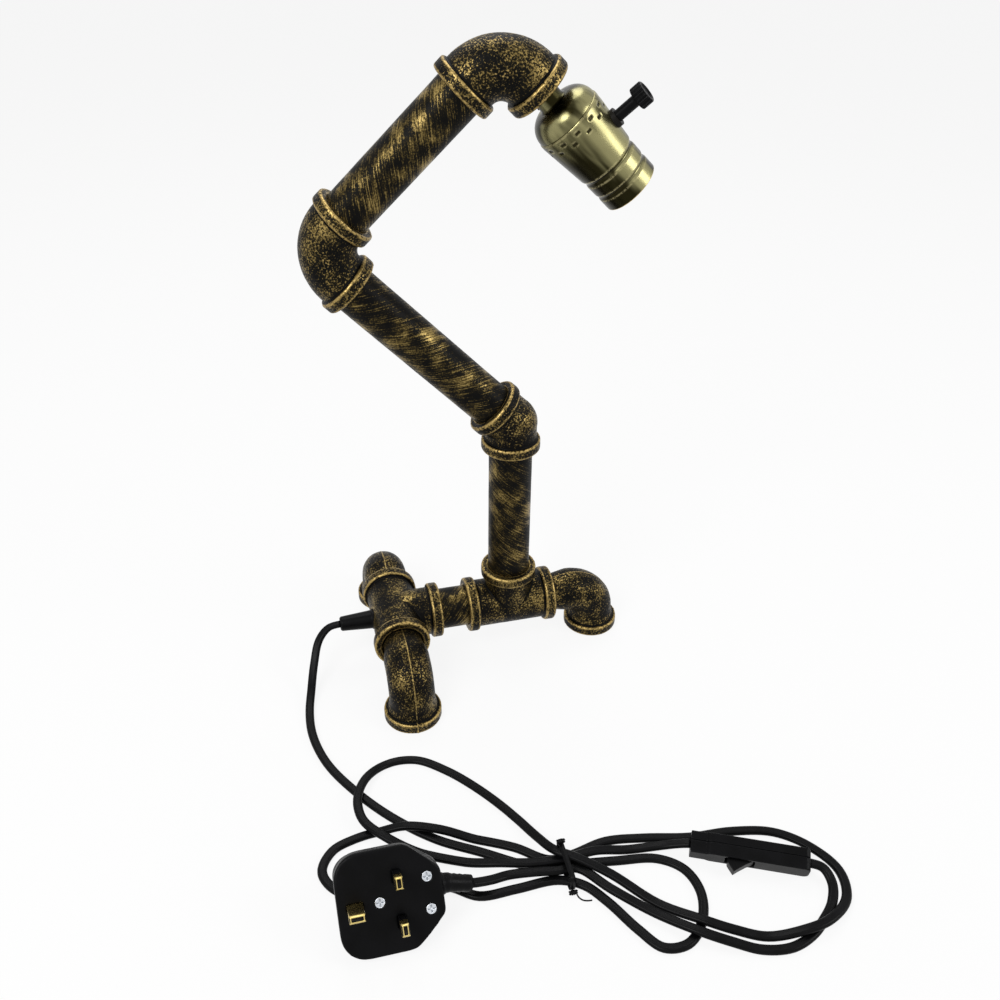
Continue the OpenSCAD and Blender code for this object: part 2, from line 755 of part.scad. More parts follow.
// ---- in-line switch; X runs from the lamp's end to the plug's end, the rocker faces +Z ----
switch_turn = -25;
switch_lean = 18;
switch_rest = switch_w / 2 * cos(switch_lean) + switch_depth / 2 * sin(switch_lean);
switch_centre = [100.2, -212.5, switch_rest + 0.05];
switch_axis = [cos(switch_turn), sin(switch_turn), 0];
switch_in = switch_centre - switch_axis * switch_len / 2;
switch_out = switch_centre + switch_axis * switch_len / 2;
switch_split = -1;
boss_len = 8;
boss_w = 10;
switch_wall = 1.6;
rocker_x = -5;
rocker_len = 15;
rocker_gap = 0.35;
rocker_pin_r = 1;
rocker_pin_z = switch_depth / 2 - 2.2;
rocker_rise = 8.2;
switch_screw_x = 24;
hollow_x0 = -18;
hollow_x1 = 16;

module at_switch() {
  translate(switch_centre) rotate([0, 0, switch_turn]) rotate([90 + switch_lean, 0, 0]) children();
}

// The switch's outline seen on the rocker: a boss at the lamp's end and round corners
module switch_outline() {
  body_x = -switch_len / 2 + boss_len;
  hull() {
    for (x = [body_x + 3, switch_len / 2 - 3], y = [-1, 1])
      translate([x, y * (switch_w / 2 - 3)]) circle(r = 3, $fn = 32);
  }
  translate([-switch_len / 2, -boss_w / 2]) square([boss_len + 4, boss_w]);
}

// The hollow of the switch: its middle between the two cord clamps
module switch_hollow(z0, z1) {
  translate([hollow_x0, -switch_w / 2 + switch_wall, z0])
    cube([hollow_x1 - hollow_x0, switch_w - 2 * switch_wall, z1 - z0]);
}

module inline_switch_back() {
  color(black)
    at_switch()
      difference() {
        translate([0, 0, -switch_depth / 2])
          linear_extrude(height = switch_depth / 2 + switch_split) switch_outline();
        switch_hollow(-switch_depth / 2 + switch_wall, switch_split + 1);
        translate([switch_screw_x, 0, -switch_depth / 2 - 1]) rod(0, switch_depth, 1.3);
        translate([switch_screw_x, 0, -switch_depth / 2 - 1]) rod(0, 2.2, 2.4);
      }
}

module inline_switch_front() {
  color(black)
    at_switch()
      difference() {
        translate([0, 0, switch_split])
          linear_extrude(height = switch_depth / 2 - switch_split) switch_outline();
        switch_hollow(switch_split - 1, switch_depth / 2 - switch_wall);
        translate([rocker_x - rocker_len / 2 - rocker_gap, -rocker_w / 2 - rocker_gap, 0])
          cube([rocker_len + 2 * rocker_gap, rocker_w + 2 * rocker_gap, switch_depth]);
        translate([rocker_x, 0, rocker_pin_z])
          rotate([90, 0, 0]) rod(-switch_w / 2 + 0.8, switch_w / 2 - 0.8, rocker_pin_r + 0.02);
        translate([switch_screw_x, 0, 0]) rod(switch_split - 1, 2.5, 1.3);
      }
}

module rocker_pin() {
  color(zinc)
    at_switch()
      translate([rocker_x, 0, rocker_pin_z])
        rotate([90, 0, 0]) rod(-switch_w / 2 + 0.9, switch_w / 2 - 0.9, rocker_pin_r);
}

// The rocker at rest is pressed at the plug's end, so that its lamp end stands up
module rocker() {
  color(black)
    at_switch()
      translate([rocker_x, 0, rocker_pin_z])
        rotate([0, rocker_tilt / 2, 0])
          difference() {
            rotate([90, 0, 0])
              linear_extrude(height = rocker_w, center = true)
                polygon([[-rocker_len / 2 + 0.6, 0], [-3, -2.4], [3, -2.4],
                  [rocker_len / 2 - 0.6, 0], [rocker_len / 2 - 0.4, 2.4], [3, 4],
                  [-1.5, 6.4], [-4.4, rocker_rise], [-rocker_len / 2 + 0.4, 3.4]]);
            rotate([90, 0, 0]) rod(-rocker_w, rocker_w, rocker_pin_r + 0.05);
          }
}

// Two sprung contacts on the back shell's floor
module inline_switch_contacts() {
  floor_z = -switch_depth / 2 + switch_wall;
  color(brass)
    at_switch()
      for (x = [-14, 3])
        translate([x, -3, floor_z]) {
          cube([10, 6, 0.5]);
          translate([x < 0 ? 9.5 : 0, 0, 0]) cube([0.5, 6, 3]);
        }
}

module inline_switch_screw() {
  color(zinc)
    at_switch()
      translate([switch_screw_x, 0, -switch_depth / 2]) {
        difference() {
          rod(0, 1.15, 2.3);
          translate([-2.5, -0.3, -1]) cube([5, 0.6, 1.5]);
        }
        rod(1.1, 8, 1.25);
      }
}

// ---- plug; the pins point along +Z from its face at z = 0, the earth pin is on +Y ----
plug_back = -plug_t;
plug_half_w = plug_w / 2;
plug_low_w = plug_half_w - (plug_t - plug_base_t) / tan(plug_tilt);
plug_shift_y = 4.5;
plug_y1 = plug_l / 2 - plug_shift_y;
plug_y0 = plug_y1 - plug_l;
plug_slope_drop = plug_half_w * sin(plug_tilt) + plug_base_t * cos(plug_tilt);
plug_x = -99.7;
plug_y = -206.8;
plug_origin = [plug_x, plug_y, plug_slope_drop + 0.05];
cord_boss_z = -13;
plug_cord_r = 4.4;
plug_sleeve_drop = 20;
plug_sleeve_len = 14;
plug_sleeve_r = 5;

module at_plug() translate(plug_origin) rotate([plug_tilt, 0, 0]) rotate([0, 0, 90]) children();

// Where the cord enters the plug, in the part's frame
function to_plug(p) =
  let (x = -p[1], y = p[0], z = p[2])
    plug_origin + [x, y * cos(plug_tilt) - z * sin(plug_tilt),
      y * sin(plug_tilt) + z * cos(plug_tilt)];
sleeve_root = to_plug([0, plug_y0, cord_boss_z]);
plug_cord_axis = [cos(plug_sleeve_drop), 0, -sin(plug_sleeve_drop)];
plug_neck = 2.8;
plug_exit = sleeve_root + [plug_neck, 0, 0] + plug_cord_axis * plug_sleeve_len;

// The plug's outline on its face: round corners, wide at the live pins and narrow at the cord.
// Each corner is its radius, its distance out from the middle and its place along the plug.
plug_cord_half_w = 14;
plug_corners = [[13, plug_half_w, plug_y1 - 13], [9, plug_half_w, plug_y0 + 20],
  [5, plug_cord_half_w, plug_y0 + 5]];
module plug_outline(inset) {
  hull() {
    for (corner = plug_corners, side = [-1, 1])
      translate([side * (corner[1] - corner[0]), corner[2]])
        circle(r = corner[0] - inset, $fn = 32);
  }
}

live_pin_x = pin_pitch / 2;
earth_pin_y = 13.5;
live_pin_y = earth_pin_y - pin_pitch;
earth_pin_size = [4, 8, 22.7];
live_pin_size = [6.35, 4, 17.7];
live_sleeve_len = 9.5;
live_sleeve_t = 0.35;
pin_inner_len = 6;
pin_gap = 0.05;

module pin_slot(centre, size) {
  translate([centre[0] - size[0] / 2 - pin_gap, centre[1] - size[1] / 2 - pin_gap, -plug_base_t - 1])
    cube([size[0] + 2 * pin_gap, size[1] + 2 * pin_gap, plug_base_t + 2]);
}

plug_screw_r = 1.6;
plug_screw_head_r = 2.6;
plug_screw_at = [[0, 1], [-8, -24], [8, -24]];

module plug_base() {
  sleeve_size = [live_pin_size[0], live_pin_size[1], 0];
  color(black)
    at_plug()
      difference() {
        translate([0, 0, -plug_base_t]) linear_extrude(height = plug_base_t) plug_outline(0);
        pin_slot([0, earth_pin_y], earth_pin_size);
        pin_slot([-live_pin_x, live_pin_y], sleeve_size);
        pin_slot([live_pin_x, live_pin_y], sleeve_size);
        for (p = plug_screw_at)
          translate([p[0], p[1], -plug_base_t - 1]) {
            rod(0, plug_base_t + 2, plug_screw_r + 0.1);
            rod(plug_base_t - 0.6, plug_base_t + 2, plug_screw_head_r + 0.1);
          }
      }
}

// The cover's sides slope in towards its back
plug_cover_wall = 2;
module plug_section(inset, over) {
  low = plug_low_w - inset;
  wide = plug_half_w - inset;
  back = plug_back + inset;
  polygon([[-wide, over - plug_base_t], [wide, over - plug_base_t], [wide, -plug_base_t],
    [low, back], [-low, back], [-wide, -plug_base_t]]);
}

module plug_body(inset, over) {
  intersection() {
    translate([0, 0, plug_back])
      linear_extrude(height = plug_t - plug_base_t + over) plug_outline(inset);
    translate([0, plug_y1 + 1, 0])
      rotate([90, 0, 0]) linear_extrude(height = plug_l + 2) plug_section(inset, over);
  }
}

module plug_cover() {
  color(black)
    at_plug()
      difference() {
        plug_body(0, 0);
        plug_body(plug_cover_wall, 1);
        translate([0, 0, cord_boss_z])
          rotate([90, 0, 0]) rod(-plug_y0 - 3, -plug_y0 + 1, plug_cord_r + 0.05);
      }
}

// The plug's tapered sleeve leaves its cord boss towards the table
module plug_sleeve() {
  color(black)
    translate(sleeve_root) {
      rotate([0, 90, 0]) rod(-plug_cover_wall, 0, plug_cord_r);
      rotate([0, 90, 0]) rod(0, plug_neck, plug_sleeve_r + 0.6);
      translate([plug_neck, 0, 0]) {
        sphere(r = plug_sleeve_r + 0.2);
        rotate([0, 90 + plug_sleeve_drop, 0])
          cylinder(r1 = plug_sleeve_r, r2 = 4.2, h = plug_sleeve_len);
      }
    }
}

module earth_pin() {
  color(brass)
    at_plug()
      translate([-earth_pin_size[0] / 2, earth_pin_y - earth_pin_size[1] / 2, -plug_base_t - pin_inner_len])
        cube([earth_pin_size[0], earth_pin_size[1], earth_pin_size[2] + plug_base_t + pin_inner_len]);
}

// A live pin: full size inside the base, thinner where its sleeve covers it, full at the tip
module live_pin(x) {
  thin_w = live_pin_size[0] - 2 * live_sleeve_t;
  thin_t = live_pin_size[1] - 2 * live_sleeve_t;
  color(brass)
    at_plug()
      translate([x, live_pin_y, 0]) {
        translate([-thin_w / 2, -thin_t / 2, -plug_base_t - pin_inner_len])
          cube([thin_w, thin_t, plug_base_t + pin_inner_len + live_pin_size[2] - 1]);
        translate([-live_pin_size[0] / 2, -live_pin_size[1] / 2, live_sleeve_len + 0.05])
          cube([live_pin_size[0], live_pin_size[1], live_pin_size[2] - live_sleeve_len - 0.05]);
      }
}

module line_pin() live_pin(-live_pin_x);

module neutral_pin() live_pin(live_pin_x);

module pin_sleeves() {
  w = live_pin_size[0];
  t = live_pin_size[1];
  inner = live_sleeve_t - 0.03;
  color(black)
    at_plug()
      for (x = [-live_pin_x, live_pin_x])
        translate([x - w / 2, live_pin_y - t / 2, -plug_base_t])
          difference() {
            cube([w, t, plug_base_t + live_sleeve_len]);
            translate([inner, inner, -1])
              cube([w - 2 * inner, t - 2 * inner, plug_base_t + live_sleeve_len + 2]);
          }
}

// The cartridge fuse lies between the line pin and its terminal
fuse_r = 3.15;
fuse_len = 25.4;
fuse_y = -6;
fuse_z = -plug_base_t - 4.6;
module plug_fuse() {
  color("#d8d4c8")
    at_plug()
      translate([-10.5, fuse_y, fuse_z])
        rotate([-90, 0, 0]) rod(0, fuse_len, fuse_r);
}

module fuse_clips() {
  color(copper)
    at_plug()
      for (y = [fuse_y + 2, fuse_y + fuse_len - 5])
        translate([-10.5 - fuse_r - 0.6, y, -plug_base_t - 5])
          difference() {
            cube([2 * fuse_r + 1.2, 3, 4.9]);
            translate([fuse_r + 0.6, -1, fuse_z + plug_base_t + 5])
              rotate([-90, 0, 0]) rod(0, 5, fuse_r + 0.03);
          }
}

module plug_cord_grip() {
  color(fibre)
    at_plug() translate([-6, plug_y0 + 6, -plug_base_t - 3]) cube([12, 5, 2.9]);
}

module plug_screws() {
  color(zinc)
    at_plug()
      for (p = plug_screw_at)
        translate([p[0], p[1], 0])
          difference() {
            union() {
              rod(-1.55, 0.1, plug_screw_head_r);
              rod(-plug_base_t - 0.5, -1.5, plug_screw_r);
            }
            translate([-2, -0.35, -0.8]) cube([4, 0.7, 2]);
            translate([-0.35, -2, -0.8]) cube([0.7, 4, 2]);
          }
}

right_tee();
left_tee();
base_nipple();
right_foot_elbow();
front_foot_elbow();
rear_foot_elbow();
cord_sleeve();
cord_sleeve_nut();
base_lead();
riser_pipe();
half_elbow();
lower_arm_pipe();
stem_lead();
middle_elbow();
upper_arm_pipe();
forearm_lead();
top_elbow();
outlet_bushing();
threaded_stud();
stud_nut();
head_lead();
holder_cap();
cap_set_screw();
holder_shell();
shell_liner();
socket_body();
screw_shell();
centre_contact();
terminal_screws();
terminal_wires();
knob_bush();
switch_knob();
switch_rotor();
cord_to_switch();
cord_tie();
inline_switch_back();
inline_switch_front();
inline_switch_contacts();
inline_switch_screw();
rocker_pin();
rocker();
cord_to_plug();
plug_base();
plug_cover();
plug_sleeve();
earth_pin();
line_pin();
neutral_pin();
pin_sleeves();
plug_fuse();
fuse_clips();
plug_cord_grip();
plug_screws();
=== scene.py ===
import math

import bmesh
import bpy
import numpy as np
from mathutils import Matrix, Vector, noise


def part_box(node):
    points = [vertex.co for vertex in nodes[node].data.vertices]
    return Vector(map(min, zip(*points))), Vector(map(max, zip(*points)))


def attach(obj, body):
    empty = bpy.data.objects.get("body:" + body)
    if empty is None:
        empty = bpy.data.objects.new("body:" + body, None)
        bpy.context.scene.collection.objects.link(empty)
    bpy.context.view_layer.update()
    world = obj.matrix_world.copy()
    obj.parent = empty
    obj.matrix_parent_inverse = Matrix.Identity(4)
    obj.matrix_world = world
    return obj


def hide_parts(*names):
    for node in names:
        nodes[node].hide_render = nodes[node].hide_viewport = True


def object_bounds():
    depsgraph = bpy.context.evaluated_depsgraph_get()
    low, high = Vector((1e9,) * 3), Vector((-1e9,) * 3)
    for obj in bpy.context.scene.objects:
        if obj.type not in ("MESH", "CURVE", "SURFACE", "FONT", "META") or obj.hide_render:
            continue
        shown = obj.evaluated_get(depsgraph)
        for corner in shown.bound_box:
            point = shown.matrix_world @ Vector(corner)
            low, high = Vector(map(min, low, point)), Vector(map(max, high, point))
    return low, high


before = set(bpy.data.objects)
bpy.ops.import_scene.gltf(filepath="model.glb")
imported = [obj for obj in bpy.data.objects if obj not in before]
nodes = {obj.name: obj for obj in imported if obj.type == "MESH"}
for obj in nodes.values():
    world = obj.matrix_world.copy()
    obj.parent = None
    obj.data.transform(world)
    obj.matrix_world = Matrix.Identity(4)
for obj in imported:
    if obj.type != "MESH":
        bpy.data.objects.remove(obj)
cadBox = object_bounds()
mm = 0.001
print("frame loaded:", len(nodes), "nodes")


def link(thing):
    bpy.context.scene.collection.objects.link(thing)


# where the photo was taken from: turned right, tipped down, a touch of roll
view = {"place": (-123.8, -523.1, 484.6), "yaw": 14.593, "down": 34.515, "roll": 0.75, "lens": 37.27}


def makeCamera():
    yaw, down, roll = (math.radians(view[k]) for k in ("yaw", "down", "roll"))
    ahead = Vector((math.sin(yaw) * math.cos(down), math.cos(yaw) * math.cos(down), -math.sin(down)))
    level = Vector((math.cos(yaw), -math.sin(yaw), 0))
    above = level.cross(ahead)
    right = level * math.cos(roll) + above * math.sin(roll)
    up = above * math.cos(roll) - level * math.sin(roll)
    data = bpy.data.cameras.new("camera")
    data.lens = view["lens"]
    data.clip_start = 0.01
    camera = bpy.data.objects.new("camera", data)
    turn = Matrix((right, up, -ahead)).transposed().to_4x4()
    camera.matrix_world = Matrix.Translation(Vector(view["place"]) * mm) @ turn
    link(camera)
    bpy.context.scene.camera = camera


# the pipework's own sizes in millimetres, the same as the solids have
pipework = {
    "pipeRadius": 13.45, "bore": 10.8, "bodyRadius": 15.75, "standHeight": 31, "riserTurn": -8,
    "faceReach": 29.5, "halfReach": 17.5, "threadLength": 10, "swivelGap": 0.3,
    "nipple": 38, "riser": 111, "lowerArm": 128, "upperArm": 104,
    "elbowBend": 22, "footBend": 18, "footTail": 40.5,
}


def shift(x=0, y=0, z=0):
    return Matrix.Translation(Vector((x, y, z)) * mm)


def turned(degrees, axis):
    return Matrix.Rotation(math.radians(degrees), 4, axis)


# places of the fittings' corners, worked out along the pipes as they are screwed together
seat = pipework["faceReach"] - pipework["threadLength"]
halfSeat = pipework["halfReach"] - pipework["threadLength"]
gap = pipework["swivelGap"]
stand = pipework["standHeight"]
riserX = sum(c.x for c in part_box("riser_pipe")) / 2 / mm
leftX = riserX - pipework["nipple"] - 2 * seat
footReach = seat + pipework["footTail"]
atRightTee = shift(riserX, 0, stand)
atLeftTee = shift(leftX, 0, stand)
atStem = atRightTee @ turned(pipework["riserTurn"], "Z")
atHalf = atStem @ shift(z=seat + gap + pipework["riser"] + halfSeat)
atLower = atHalf @ turned(-45, "Y")
atMiddle = atLower @ shift(z=halfSeat + pipework["lowerArm"] + gap + seat)
atUpper = atMiddle @ turned(90, "Y")
atTop = atUpper @ shift(z=seat + pipework["upperArm"] + gap + seat)
atHead = atTop @ turned(90, "Y") @ shift(z=pipework["faceReach"])
atRightFoot = shift(riserX + footReach, 0, stand)
atFrontFoot = shift(leftX, -footReach, stand) @ turned(-90, "Z")
atRearFoot = shift(leftX, footReach, stand) @ turned(90, "Z")


# meshes
def makePiece(name, points, faces, place=None):
    mesh = bpy.data.meshes.new(name)
    mesh.from_pydata([tuple(p) for p in points], [], faces)
    tidy = bmesh.new()
    tidy.from_mesh(mesh)
    bmesh.ops.remove_doubles(tidy, verts=tidy.verts, dist=1e-7)
    bmesh.ops.recalc_face_normals(tidy, faces=tidy.faces)
    tidy.to_mesh(mesh)
    tidy.free()
    mesh.shade_smooth()
    piece = bpy.data.objects.new(name, mesh)
    if place is not None:
        piece.matrix_world = place
    link(piece)
    return piece


def rounded(outline, radius, steps=3, closed=True):
    made = []
    count = len(outline)
    for i, corner in enumerate(outline):
        if not closed and i in (0, count - 1):
            made.append(corner)
            continue
        here = Vector(corner)
        before = Vector(outline[i - 1]) - here
        after = Vector(outline[(i + 1) % count]) - here
        cut = min(radius, before.length * 0.45, after.length * 0.45)
        start = here + before.normalized() * cut
        end = here + after.normalized() * cut
        for k in range(steps + 1):
            t = k / steps
            made.append(tuple(start * (1 - t) ** 2 + here * 2 * t * (1 - t) + end * t * t))
    return made


def stepped(outline, step, closed=True):
    made = []
    count = len(outline)
    for i in range(count if closed else count - 1):
        a, b = Vector(outline[i]), Vector(outline[(i + 1) % count])
        parts = max(1, math.ceil((b - a).length / step))
        made += [tuple(a.lerp(b, k / parts)) for k in range(parts)]
    if not closed:
        made.append(outline[-1])
    return made


def lathe(name, outline, place, segments, closed=True, shape=None):
    points = []
    count = len(outline)
    for i in range(segments):
        angle = 2 * math.pi * i / segments
        for z, r in outline:
            reach = shape(z, r, angle) if shape else r
            points.append(Vector((reach * math.cos(angle), reach * math.sin(angle), z)) * mm)
    faces = []
    for i in range(segments):
        j = (i + 1) % segments
        for k in range(count if closed else count - 1):
            n = (k + 1) % count
            faces.append((i * count + k, j * count + k, j * count + n, i * count + n))
    return makePiece(name, points, faces, place)


def smoothLine(route, steps, start=None, end=None):
    points = [Vector(p) for p in route]
    first, last = 2 * points[0] - points[1], 2 * points[-1] - points[-2]
    if start:
        first = points[0] - Vector(start) * (points[1] - points[0]).length
    if end:
        last = points[-1] + Vector(end) * (points[-1] - points[-2]).length
    points = [first] + points + [last]
    line = []
    for i in range(1, len(points) - 2):
        p = points[i - 1:i + 3]
        t = [0.0]
        for a, b in zip(p, p[1:]):
            t.append(t[-1] + math.sqrt((b - a).length))
        for k in range(steps):
            u = t[1] + (t[2] - t[1]) * k / steps
            a = [p[j].lerp(p[j + 1], (u - t[j]) / (t[j + 1] - t[j])) for j in range(3)]
            b = [a[j].lerp(a[j + 1], (u - t[j]) / (t[j + 2] - t[j])) for j in range(2)]
            line.append(b[0].lerp(b[1], (u - t[1]) / (t[2] - t[1])))
    line.append(points[-2])
    return line


def sweep(name, line, outline, start=None, end=None, closed=False, level=Vector((0, 0, 1))):
    count, sides = len(line), len(outline)
    points = []
    for k, at in enumerate(line):
        after = line[(k + 1) % count] if closed else line[min(k + 1, count - 1)]
        before = line[k - 1] if closed else line[max(k - 1, 0)]
        along = (after - before).normalized()
        if k == 0 and start is not None:
            along = Vector(start).normalized()
        if k == count - 1 and end is not None:
            along = Vector(end).normalized()
        side = level.cross(along).normalized()
        up = along.cross(side)
        points += [(at + side * x + up * y) * mm for x, y in outline]
    faces = []
    for k in range(count if closed else count - 1):
        for i in range(sides):
            a, b = k * sides, ((k + 1) % count) * sides
            j = (i + 1) % sides
            faces.append((a + i, a + j, b + j, b + i))
    if not closed:
        faces.append(tuple(range(sides)))
        faces.append(tuple((count - 1) * sides + i for i in reversed(range(sides))))
    return makePiece(name, points, faces)


def points3(mesh):
    co = np.empty(len(mesh.vertices) * 3)
    mesh.vertices.foreach_get("co", co)
    return co.reshape(-1, 3)


def normals3(mesh):
    n = np.empty(len(mesh.vertices) * 3, np.float32)
    mesh.vertex_normals.foreach_get("vector", n)
    return n.reshape(-1, 3).astype(float)


def setPoints(mesh, co):
    mesh.vertices.foreach_set("co", co.astype(np.float32).ravel())
    mesh.update()


def neighbours(mesh):
    edges = np.empty(len(mesh.edges) * 2, np.int32)
    mesh.edges.foreach_get("vertices", edges)
    edges = edges.reshape(-1, 2)
    count = np.bincount(edges.ravel(), minlength=len(mesh.vertices)).astype(float)
    return edges, np.maximum(count, 1)


def evened(values, edges, count, rounds, keep=None):
    for _ in range(rounds):
        total = np.zeros_like(values)
        for column in range(values.shape[1]):
            total[:, column] += np.bincount(edges[:, 0], values[edges[:, 1], column], len(values))
            total[:, column] += np.bincount(edges[:, 1], values[edges[:, 0], column], len(values))
        change = 0.5 * (total / count[:, None] - values)
        values = values + (change if keep is None else change * keep[:, None])
    return values


def markEdges(mesh, depth, rounds):
    co, edges, count = points3(mesh), *neighbours(mesh)
    rise = np.einsum("ij,ij->i", co - evened(co, edges, count, rounds), normals3(mesh))
    value = np.clip(evened(rise[:, None], edges, count, 1)[:, 0] / (depth * mm), -1, 1)
    mesh.attributes.new("edge", "FLOAT", "POINT").data.foreach_set("value", value.astype(np.float32))


def softened(node, name, voxel, rounds, place, keep=None):
    mesh = nodes[node].data.copy()
    mesh.transform(place.inverted())
    tidy = bmesh.new()
    tidy.from_mesh(mesh)
    bmesh.ops.remove_doubles(tidy, verts=tidy.verts, dist=1e-6)
    tidy.to_mesh(mesh)
    tidy.free()
    rough = bpy.data.objects.new(name + "_rough", mesh)
    link(rough)
    remesh = rough.modifiers.new("grid", "REMESH")
    remesh.mode = "VOXEL"
    remesh.voxel_size = voxel * mm
    bpy.context.view_layer.update()
    made = bpy.data.meshes.new_from_object(rough.evaluated_get(bpy.context.evaluated_depsgraph_get()))
    bpy.data.objects.remove(rough)
    co, edges, count = points3(made), *neighbours(made)
    weight = None if keep is None else keep(co / mm)
    setPoints(made, evened(co, edges, count, rounds, weight))
    made.name = name
    made.shade_smooth()
    piece = bpy.data.objects.new(name, made)
    piece.matrix_world = place
    link(piece)
    return piece


def settle(piece):
    mesh = piece.data
    own = mesh.attributes.new("own", "FLOAT_VECTOR", "POINT")  # where a point is on the piece's own axes
    own.data.foreach_set("vector", points3(mesh).astype(np.float32).ravel())
    mesh.transform(piece.matrix_world)
    setPoints(mesh, np.clip(points3(mesh), cadBox[0], cadBox[1]))  # no skin stands past the solids' box
    piece.matrix_world = Matrix.Identity(4)


def dress(piece, material, body, slot, *replaced):
    settle(piece)
    piece.data.materials.clear()
    piece.data.materials.append(material)
    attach(piece, body)
    if replaced:
        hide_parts(*replaced)
    return piece


def twoTone(piece, material, faces):
    piece.data.materials.append(material)
    for index in faces:
        piece.data.polygons[index].material_index = 1


# shader building
def add(tree, kind, values=None, **settings):
    made = tree.nodes.new("ShaderNode" + kind)
    for key, value in settings.items():
        setattr(made, key, value)
    for key, value in (values or {}).items():
        if isinstance(value, bpy.types.NodeSocket):
            tree.links.new(value, made.inputs[key])
        else:
            made.inputs[key].default_value = value
    return made


def sums(tree, operation, *terms):
    return add(tree, "Math", dict(enumerate(terms)), operation=operation).outputs[0]


def ramp(tree, value, low, high, first=0.0, last=1.0):
    made = add(tree, "MapRange", {
        "Value": value, "From Min": low, "From Max": high, "To Min": first, "To Max": last})
    made.interpolation_type = "SMOOTHSTEP"
    return made.outputs["Result"]


def clouds(tree, where, scale, detail, roughness=0.5):
    return add(tree, "TexNoise", {
        "Vector": where, "Scale": scale, "Detail": detail, "Roughness": roughness}).outputs["Fac"]


def mixed(tree, share, first, second):
    made = add(tree, "Mix", data_type="RGBA")
    for socket, value in ((made.inputs[0], share), (made.inputs[6], first), (made.inputs[7], second)):
        if isinstance(value, bpy.types.NodeSocket):
            tree.links.new(value, socket)
        else:
            socket.default_value = value
    return made.outputs[2]


def startGroup(name, takes, gives):
    tree = bpy.data.node_groups.new(name, "ShaderNodeTree")
    for label, value in takes.items():
        socket = tree.interface.new_socket(label, in_out="INPUT", socket_type="NodeSocketFloat")
        socket.default_value = value
    for label in gives:
        tree.interface.new_socket(label, in_out="OUTPUT", socket_type="NodeSocketFloat")
    return tree, tree.nodes.new("NodeGroupInput").outputs, tree.nodes.new("NodeGroupOutput").inputs


# the rub's broad patches against its grain, and how softly gold and bright gold set in
rubShape = {"patchScale": 0.07, "under": 0.045, "over": 0.035, "brightOver": 0.15}


def makeRubGroup():
    tree, given, result = startGroup(
        "gold rub",
        {"Scale": 1500, "Twist": 0, "Stretch": 1, "Speckle": 0.5, "Cover": 0.45, "Patch": 0.5, "Edge": 0.5},
        ["Gold", "Bright", "Height", "Patch"])
    where = add(tree, "Attribute", attribute_name="own").outputs["Vector"]
    split = add(tree, "SeparateXYZ", {0: where}).outputs
    turn = sums(tree, "MULTIPLY", split["Z"], given["Twist"])
    spun = add(tree, "VectorRotate", {"Vector": where, "Angle": turn}, rotation_type="Z_AXIS").outputs[0]
    parts = add(tree, "SeparateXYZ", {0: spun}).outputs
    low = sums(tree, "MULTIPLY", parts["Z"], given["Stretch"])
    strokes = add(tree, "CombineXYZ", {"X": parts["X"], "Y": parts["Y"], "Z": low}).outputs[0]
    streak = clouds(tree, strokes, given["Scale"], 4, 0.6)
    speck = clouds(tree, where, given["Scale"], 3, 0.65)
    broad = clouds(tree, where, sums(tree, "MULTIPLY", given["Scale"], rubShape["patchScale"]), 2)
    edge = add(tree, "Attribute", attribute_name="edge").outputs["Fac"]
    off = sums(tree, "SUBTRACT", speck, streak)
    fine = sums(tree, "ADD", streak, sums(tree, "MULTIPLY", off, given["Speckle"]))
    patch = sums(tree, "MULTIPLY", sums(tree, "SUBTRACT", broad, 0.5), given["Patch"])
    lift = sums(tree, "MULTIPLY", edge, given["Edge"])
    level = sums(tree, "ADD", sums(tree, "ADD", fine, patch), lift)
    start = sums(tree, "SUBTRACT", 1.0, given["Cover"])
    under = sums(tree, "SUBTRACT", start, rubShape["under"])
    gold = ramp(tree, level, under, sums(tree, "ADD", start, rubShape["over"]))
    bright = ramp(tree, level, start, sums(tree, "ADD", start, rubShape["brightOver"]))
    made = {"Gold": gold, "Bright": bright, "Height": fine, "Patch": broad}
    for label, value in made.items():
        tree.links.new(value, result[label])
    return tree


def makeGrainGroup():
    tree, given, result = startGroup(
        "fine grain", {"Scale": 2500, "Spread": 0.1, "Level": 0.4}, ["Rough", "Height", "Tone"])
    where = add(tree, "TexCoord").outputs["Object"]
    fine = clouds(tree, where, given["Scale"], 3)
    broad = clouds(tree, where, sums(tree, "MULTIPLY", given["Scale"], 0.04), 3)
    both = sums(tree, "ADD", sums(tree, "MULTIPLY", fine, 0.35), sums(tree, "MULTIPLY", broad, 0.65))
    around = sums(tree, "SUBTRACT", both, 0.5)
    off = sums(tree, "MULTIPLY", around, sums(tree, "MULTIPLY", given["Spread"], 4))
    tree.links.new(sums(tree, "ADD", given["Level"], off), result["Rough"])
    tree.links.new(fine, result["Height"])
    tree.links.new(broad, result["Tone"])
    return tree


def makeWearGroup():
    tree, given, result = startGroup(
        "edge wear", {"Bright": 0.5, "Grime": 0.6, "Break": 700}, ["Worn", "Hollows"])
    edge = add(tree, "Attribute", attribute_name="edge").outputs["Fac"]
    where = add(tree, "TexCoord").outputs["Object"]
    spots = clouds(tree, where, given["Break"], 4)
    raised = sums(tree, "MULTIPLY", ramp(tree, edge, 0.35, 0.95), ramp(tree, spots, 0.36, 0.56))
    # darker in the hollows, by how far the surface sinks there
    sunk = ramp(tree, edge, -0.1, -0.7)
    tree.links.new(sums(tree, "MULTIPLY", raised, given["Bright"]), result["Worn"])
    tree.links.new(sums(tree, "MULTIPLY", sunk, given["Grime"]), result["Hollows"])
    return tree


rubGroup, grainGroup, wearGroup = makeRubGroup(), makeGrainGroup(), makeWearGroup()


